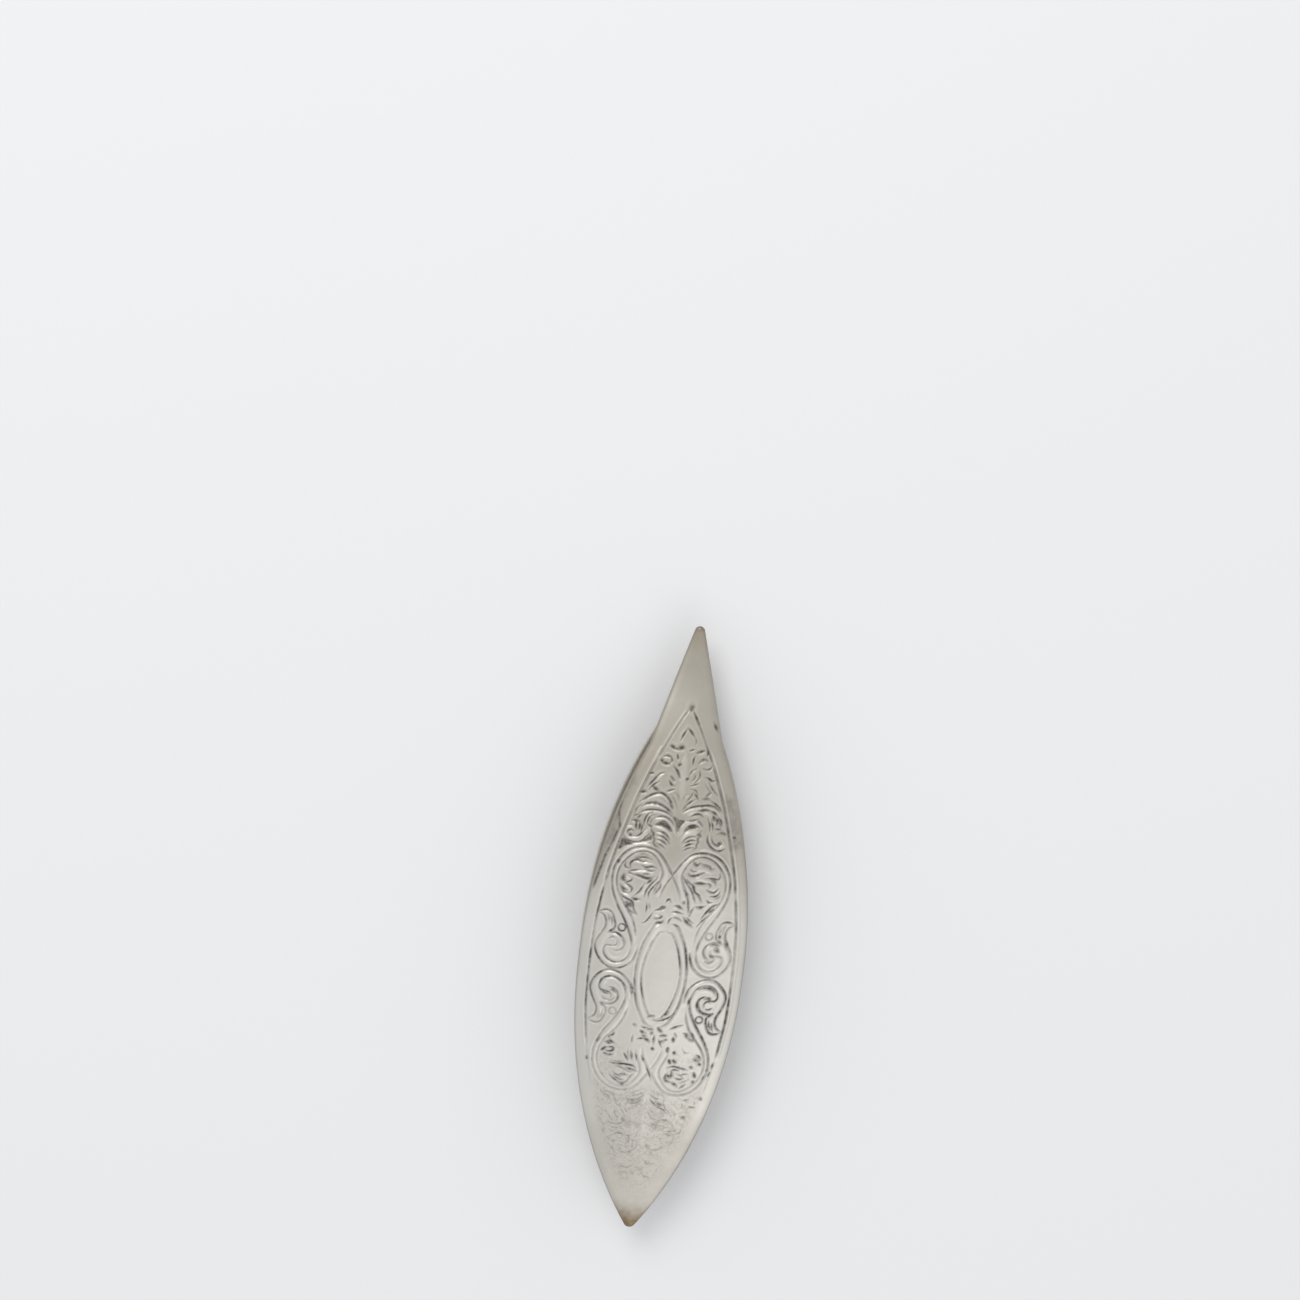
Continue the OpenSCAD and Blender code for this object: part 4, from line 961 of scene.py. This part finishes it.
def silver_plate(colours):
    """Old silver plate: satin metal with yellow tarnish in clouds, black in the lines and at the edge.

    The places along y are the blade's own, from the browned point at -40.6 to the end of the pick at 48.3.
    The colour turns towards the tarnish from the middle towards the pick and towards the point, and down the
    lower end a little more on the right, which is painted shade that evens out the lamps. The rims are
    lighter from the middle down, a painted highlight. The black at the edge is painted shade with some
    tarnish, and the upper left rim is darkened and browned by painted shade. The worn field below the lower
    medallions, like the inside of these, is full of fine black scribble.
    """
    shader = Shader("silver_plate")
    place = shader.place()
    x, y = shader.parts(place)[:2]
    ink, edge, rubbed, outside, matt = [
        shader.attribute(name) for name in ("ink", "edge", "rubbed", "outside", "matt")]
    cloud = shader.noise(place, 0.22, 4.0, 0.6)
    mottle = shader.noise(place, 1.1, 5.0, 0.65)
    grain = shader.noise(place, 7.0, 3.0, 0.6)
    swirl = shader.noise(place, 0.9, 5.0, 0.75, distortion=2.2)
    to_pick = y.between(5.0, 21.0)
    to_point = 1 - y.between(-28.0, -9.0)
    aside = x.math("ABSOLUTE")
    bowed = y * y * (FRAME_WIDTH / FRAME_END ** 2)
    rim = (aside + bowed - FRAME_WIDTH).between(-0.6, 0.9)
    # Lighter rims from about y -27 to 2, with less tarnish: a painted highlight
    painted_rim_highlight = rim * (1 - y.between(-14.0, 2.0)) * y.between(-27.0, -18.0)
    # The to_point * x term gives the lower end's right side more tarnish colour: painted shade that evens
    # out the lamps
    tarnish_and_painted_light = (cloud * 0.4 + mottle * 0.2 - 0.22 + to_pick * 0.8 + to_point * 0.3 - rubbed * 0.5
            - painted_rim_highlight * 0.4 + to_point * x * 0.02).clamped()
    colour = shader.mix(tarnish_and_painted_light, tuple(colours.silver), tuple(colours.tarnish))
    at_point = 1 - y.between(-40.0, -35.5)
    near_point = 1 - y.between(-36.0, -16.0)
    on_pick = y.between(35.0, 49.0)
    at_pick_tip = y.between(43.5, 48.0)
    # The upper left rim is darkened and browned: painted shade where the rim reflects a dark surrounding
    left_rim_shade = (1 - x.between(-5.5, -2.5)) * y.between(22.0, 31.0) * (1 - y.between(35.0, 40.0))
    brown = (at_point * (mottle * 1.1 + 0.35) + on_pick * 0.15 + at_pick_tip * 0.25
             + left_rim_shade * 0.13 + near_point * 0.05).clamped()
    colour = shader.mix(brown, colour, tuple(colours.rust))
    off_x = aside - 4.6
    off_y = y + 14.0
    medallion = 1 - ((off_x * off_x + off_y * off_y) ** 0.5).between(2.2, 3.2)
    worn = (1 - rim) * (1 - y.between(-18.5, -16.5)) * (y.between(-37.0, -29.0) * 0.85 + 0.15)
    scribble = swirl.between(0.46, 0.62) * outside * (worn + medallion * 0.6).clamped()
    black = (ink * (mottle.between(0.38, 0.58) * 0.5 + 0.65)).clamped()
    # The rolled edge is blackened by the edge attribute: painted shade with some tarnish, fainter above y 14
    edge_tarnish_and_shade = edge * (0.62 - y.between(14.0, 26.0) * 0.5)
    # The last millimetre of the pick is darkened too: painted shade along its end, with some tarnish
    blackening_and_shade = (black * 0.95 + edge_tarnish_and_shade + scribble * 0.28 + y.between(47.4, 48.3) * 0.45).clamped()
    colour = shader.mix(blackening_and_shade, colour, tuple(colours.ink))
    metallic = (1 - blackening_and_shade * 0.75 - matt * 0.9).clamped()
    roughness = (mottle * 0.16 + grain * 0.1 + black * 0.3 + 0.33).clamped()
    height = grain * 0.35 + mottle * 0.65
    bump = shader.node("ShaderNodeBump", {}, {"Strength": 0.35, "Distance": 0.00002, "Height": height})
    return shader.finish(Base_Color=colour, Metallic=metallic, Roughness=roughness, Normal=bump)


def post_plate(colours):
    """The post's plate: duller than the blades, with fine file marks along the shuttle."""
    shader = Shader("post_plate")
    place = shader.place()
    stretched = shader.node("ShaderNodeMapping", {}, {"Vector": place, "Scale": (1.0, 1.0, 0.12)})
    cloud = shader.noise(place, 0.6, 4.0, 0.6)
    marks = shader.noise(stretched, 9.0, 3.0, 0.6)
    colour = shader.mix(cloud * 0.9, tuple(colours.silver), tuple(colours.tarnish))
    bump = shader.node("ShaderNodeBump", {}, {"Strength": 0.4, "Distance": 0.00002, "Height": marks})
    return shader.finish(Base_Color=colour, Metallic=1.0, Roughness=marks * 0.2 + 0.35, Normal=bump)


def solder_metal(colours):
    """Run-in solder: grey, matt and slightly lumpy."""
    shader = Shader("solder_metal")
    place = shader.place()
    lumps = shader.noise(place, 2.2, 4.0, 0.6)
    greys = [(0.3, (0.26, 0.26, 0.265)), (0.7, (0.42, 0.42, 0.41))]
    colour = shader.node("ShaderNodeValToRGB", {"stops": greys}, {"Fac": lumps})
    bump = shader.node("ShaderNodeBump", {}, {"Strength": 0.5, "Distance": 0.00005, "Height": lumps})
    return shader.finish(Base_Color=colour, Metallic=1.0, Roughness=lumps * 0.2 + 0.42, Normal=bump)


def floor_paper(colours):
    """A plain pale floor."""
    shader = Shader("floor_paper")
    return shader.finish(Base_Color=(*colours.floor, 1.0), Roughness=0.9)


def finish_of(name, make):
    """The material of that name, made on first use."""
    found = bpy.data.materials.get(name)
    return found or make(bpy.context.scene.shuttle_colours)


def dress_node(name, material):
    """Gives a node of the frame its material."""
    node = bpy.data.objects[name]
    node.data.materials.clear()
    node.data.materials.append(material)


class SHUTTLE_OT_upper_blade(bpy.types.Operator):
    """Make the upper blade, chased on its outer face and drawn out into the pick"""

    bl_idname = "shuttle.upper_blade"
    bl_label = "Upper blade"

    def execute(self, context):
        sizes = context.scene.shuttle_sizes
        piece = add_mesh("chased_upper_blade", *blade_surface(BladeForm(sizes, True), sizes, 1.0))
        piece.data.materials.append(finish_of("silver_plate", silver_plate))
        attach(piece, "root")
        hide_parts("upper_blade")
        return {"FINISHED"}


class SHUTTLE_OT_lower_blade(bpy.types.Operator):
    """Make the lower blade, the upper blade's mirror image without the pick"""

    bl_idname = "shuttle.lower_blade"
    bl_label = "Lower blade"

    def execute(self, context):
        sizes = context.scene.shuttle_sizes
        points, quads, fans, marks = blade_surface(BladeForm(sizes, False), sizes, 0.15)
        points[:, 2] *= -1
        piece = add_mesh("chased_lower_blade", points, quads[:, ::-1], fans[:, ::-1], marks)
        piece.data.materials.append(finish_of("silver_plate", silver_plate))
        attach(piece, "root")
        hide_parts("lower_blade")
        return {"FINISHED"}


class SHUTTLE_OT_post(bpy.types.Operator):
    """Finish the post and the solder round its ends"""

    bl_idname = "shuttle.post"
    bl_label = "Post and solder"

    def execute(self, context):
        dress_node("centre_post", finish_of("post_plate", post_plate))
        dress_node("solder_fillet_upper", finish_of("solder_metal", solder_metal))
        dress_node("solder_fillet_lower", finish_of("solder_metal", solder_metal))
        return {"FINISHED"}


def aim(thing, place, target, up):
    """Puts a camera or lamp at a place, looking at the target with the given way up. In millimetres."""
    back = (place - target).normalized()
    right = up.cross(back).normalized()
    upright = back.cross(right)
    turn = Matrix((right, upright, back)).transposed().to_4x4()
    thing.matrix_world = Matrix.Translation(place * MM) @ turn


def add_lamp(name, place, size, power):
    """A square soft lamp that looks at the shuttle's middle. In millimetres and watts."""
    lamp = bpy.data.lights.new(name, "AREA")
    lamp.shape = "SQUARE"
    lamp.size = size * MM
    lamp.energy = power
    holder = bpy.data.objects.new(name, lamp)
    bpy.context.scene.collection.objects.link(holder)
    aim(holder, Vector(place), Vector((0, 0, 0)), Vector((0, 1, 0.01)))


class SHUTTLE_OT_stage(bpy.types.Operator):
    """Make the floor, the lamps, the world and the camera"""

    bl_idname = "shuttle.stage"
    bl_label = "Stage"

    def execute(self, context):
        scene = context.scene
        half = 1500.0
        gap = 0.02
        z = LOWER_LOW[2] - gap
        corners = np.array([[-half, -half, z], [half, -half, z], [half, half, z], [-half, half, z]])
        floor = add_mesh("floor", corners, np.array([[0, 1, 2, 3]]), np.empty((0, 3), dtype=int))
        floor.data.materials.append(finish_of("floor_paper", floor_paper))
        up = Matrix.Rotation(CAMERA_TURN, 3, "Z") @ Vector((0, 1, 0))
        back = math.cos(CAMERA_TILT) * Vector((0, 0, 1)) + math.sin(CAMERA_TILT) * up
        camera = bpy.data.cameras.new("camera")
        camera.sensor_width = 36.0
        camera.lens = camera.sensor_width * CAMERA_DISTANCE / (PICTURE_SIZE * PICTURE_SCALE)
        camera.clip_start = 0.01
        holder = bpy.data.objects.new("camera", camera)
        scene.collection.objects.link(holder)
        aim(holder, CAMERA_TARGET + CAMERA_DISTANCE * back, CAMERA_TARGET, up)
        scene.camera = holder
        add_lamp("key_lamp", (-260.0, 620.0, 620.0), 420.0, 3.3)
        add_lamp("fill_lamp", (330.0, -540.0, 660.0), 700.0, 1.05)
        world = bpy.data.worlds.new("soft_world")
        world.use_nodes = True
        sky = world.node_tree.nodes["Background"]
        sky.inputs["Color"].default_value = (0.97, 0.98, 1.0, 1.0)
        sky.inputs["Strength"].default_value = 0.78
        scene.world = world
        scene.view_settings.view_transform = "Standard"
        return {"FINISHED"}


class SHUTTLE_PT_sidebar(bpy.types.Panel):
    """Lists the shuttle's pieces, sizes and colours"""

    bl_label = "Shuttle"
    bl_idname = "SHUTTLE_PT_sidebar"
    bl_space_type = "VIEW_3D"
    bl_region_type = "UI"
    bl_category = "Shuttle"

    def draw(self, context):
        for operator in OPERATORS:
            self.layout.operator(operator.bl_idname)
        for group in (context.scene.shuttle_sizes, context.scene.shuttle_colours):
            for name in group.bl_rna.properties.keys():
                if name not in ("rna_type", "name"):
                    self.layout.prop(group, name)


OPERATORS = (SHUTTLE_OT_stage, SHUTTLE_OT_upper_blade, SHUTTLE_OT_lower_blade, SHUTTLE_OT_post)
CLASSES = (ShuttleSizes, ShuttleColours) + OPERATORS + (SHUTTLE_PT_sidebar,)


def register():
    for each in CLASSES:
        bpy.utils.register_class(each)
    bpy.types.Scene.shuttle_sizes = PointerProperty(type=ShuttleSizes)
    bpy.types.Scene.shuttle_colours = PointerProperty(type=ShuttleColours)


def unregister():
    del bpy.types.Scene.shuttle_colours
    del bpy.types.Scene.shuttle_sizes
    for each in reversed(CLASSES):
        bpy.utils.unregister_class(each)


def main():
    register()
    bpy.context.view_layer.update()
    bpy.ops.shuttle.stage()
    bpy.ops.shuttle.upper_blade()
    bpy.ops.shuttle.lower_blade()
    bpy.ops.shuttle.post()


if __name__ == "__main__":
    main()
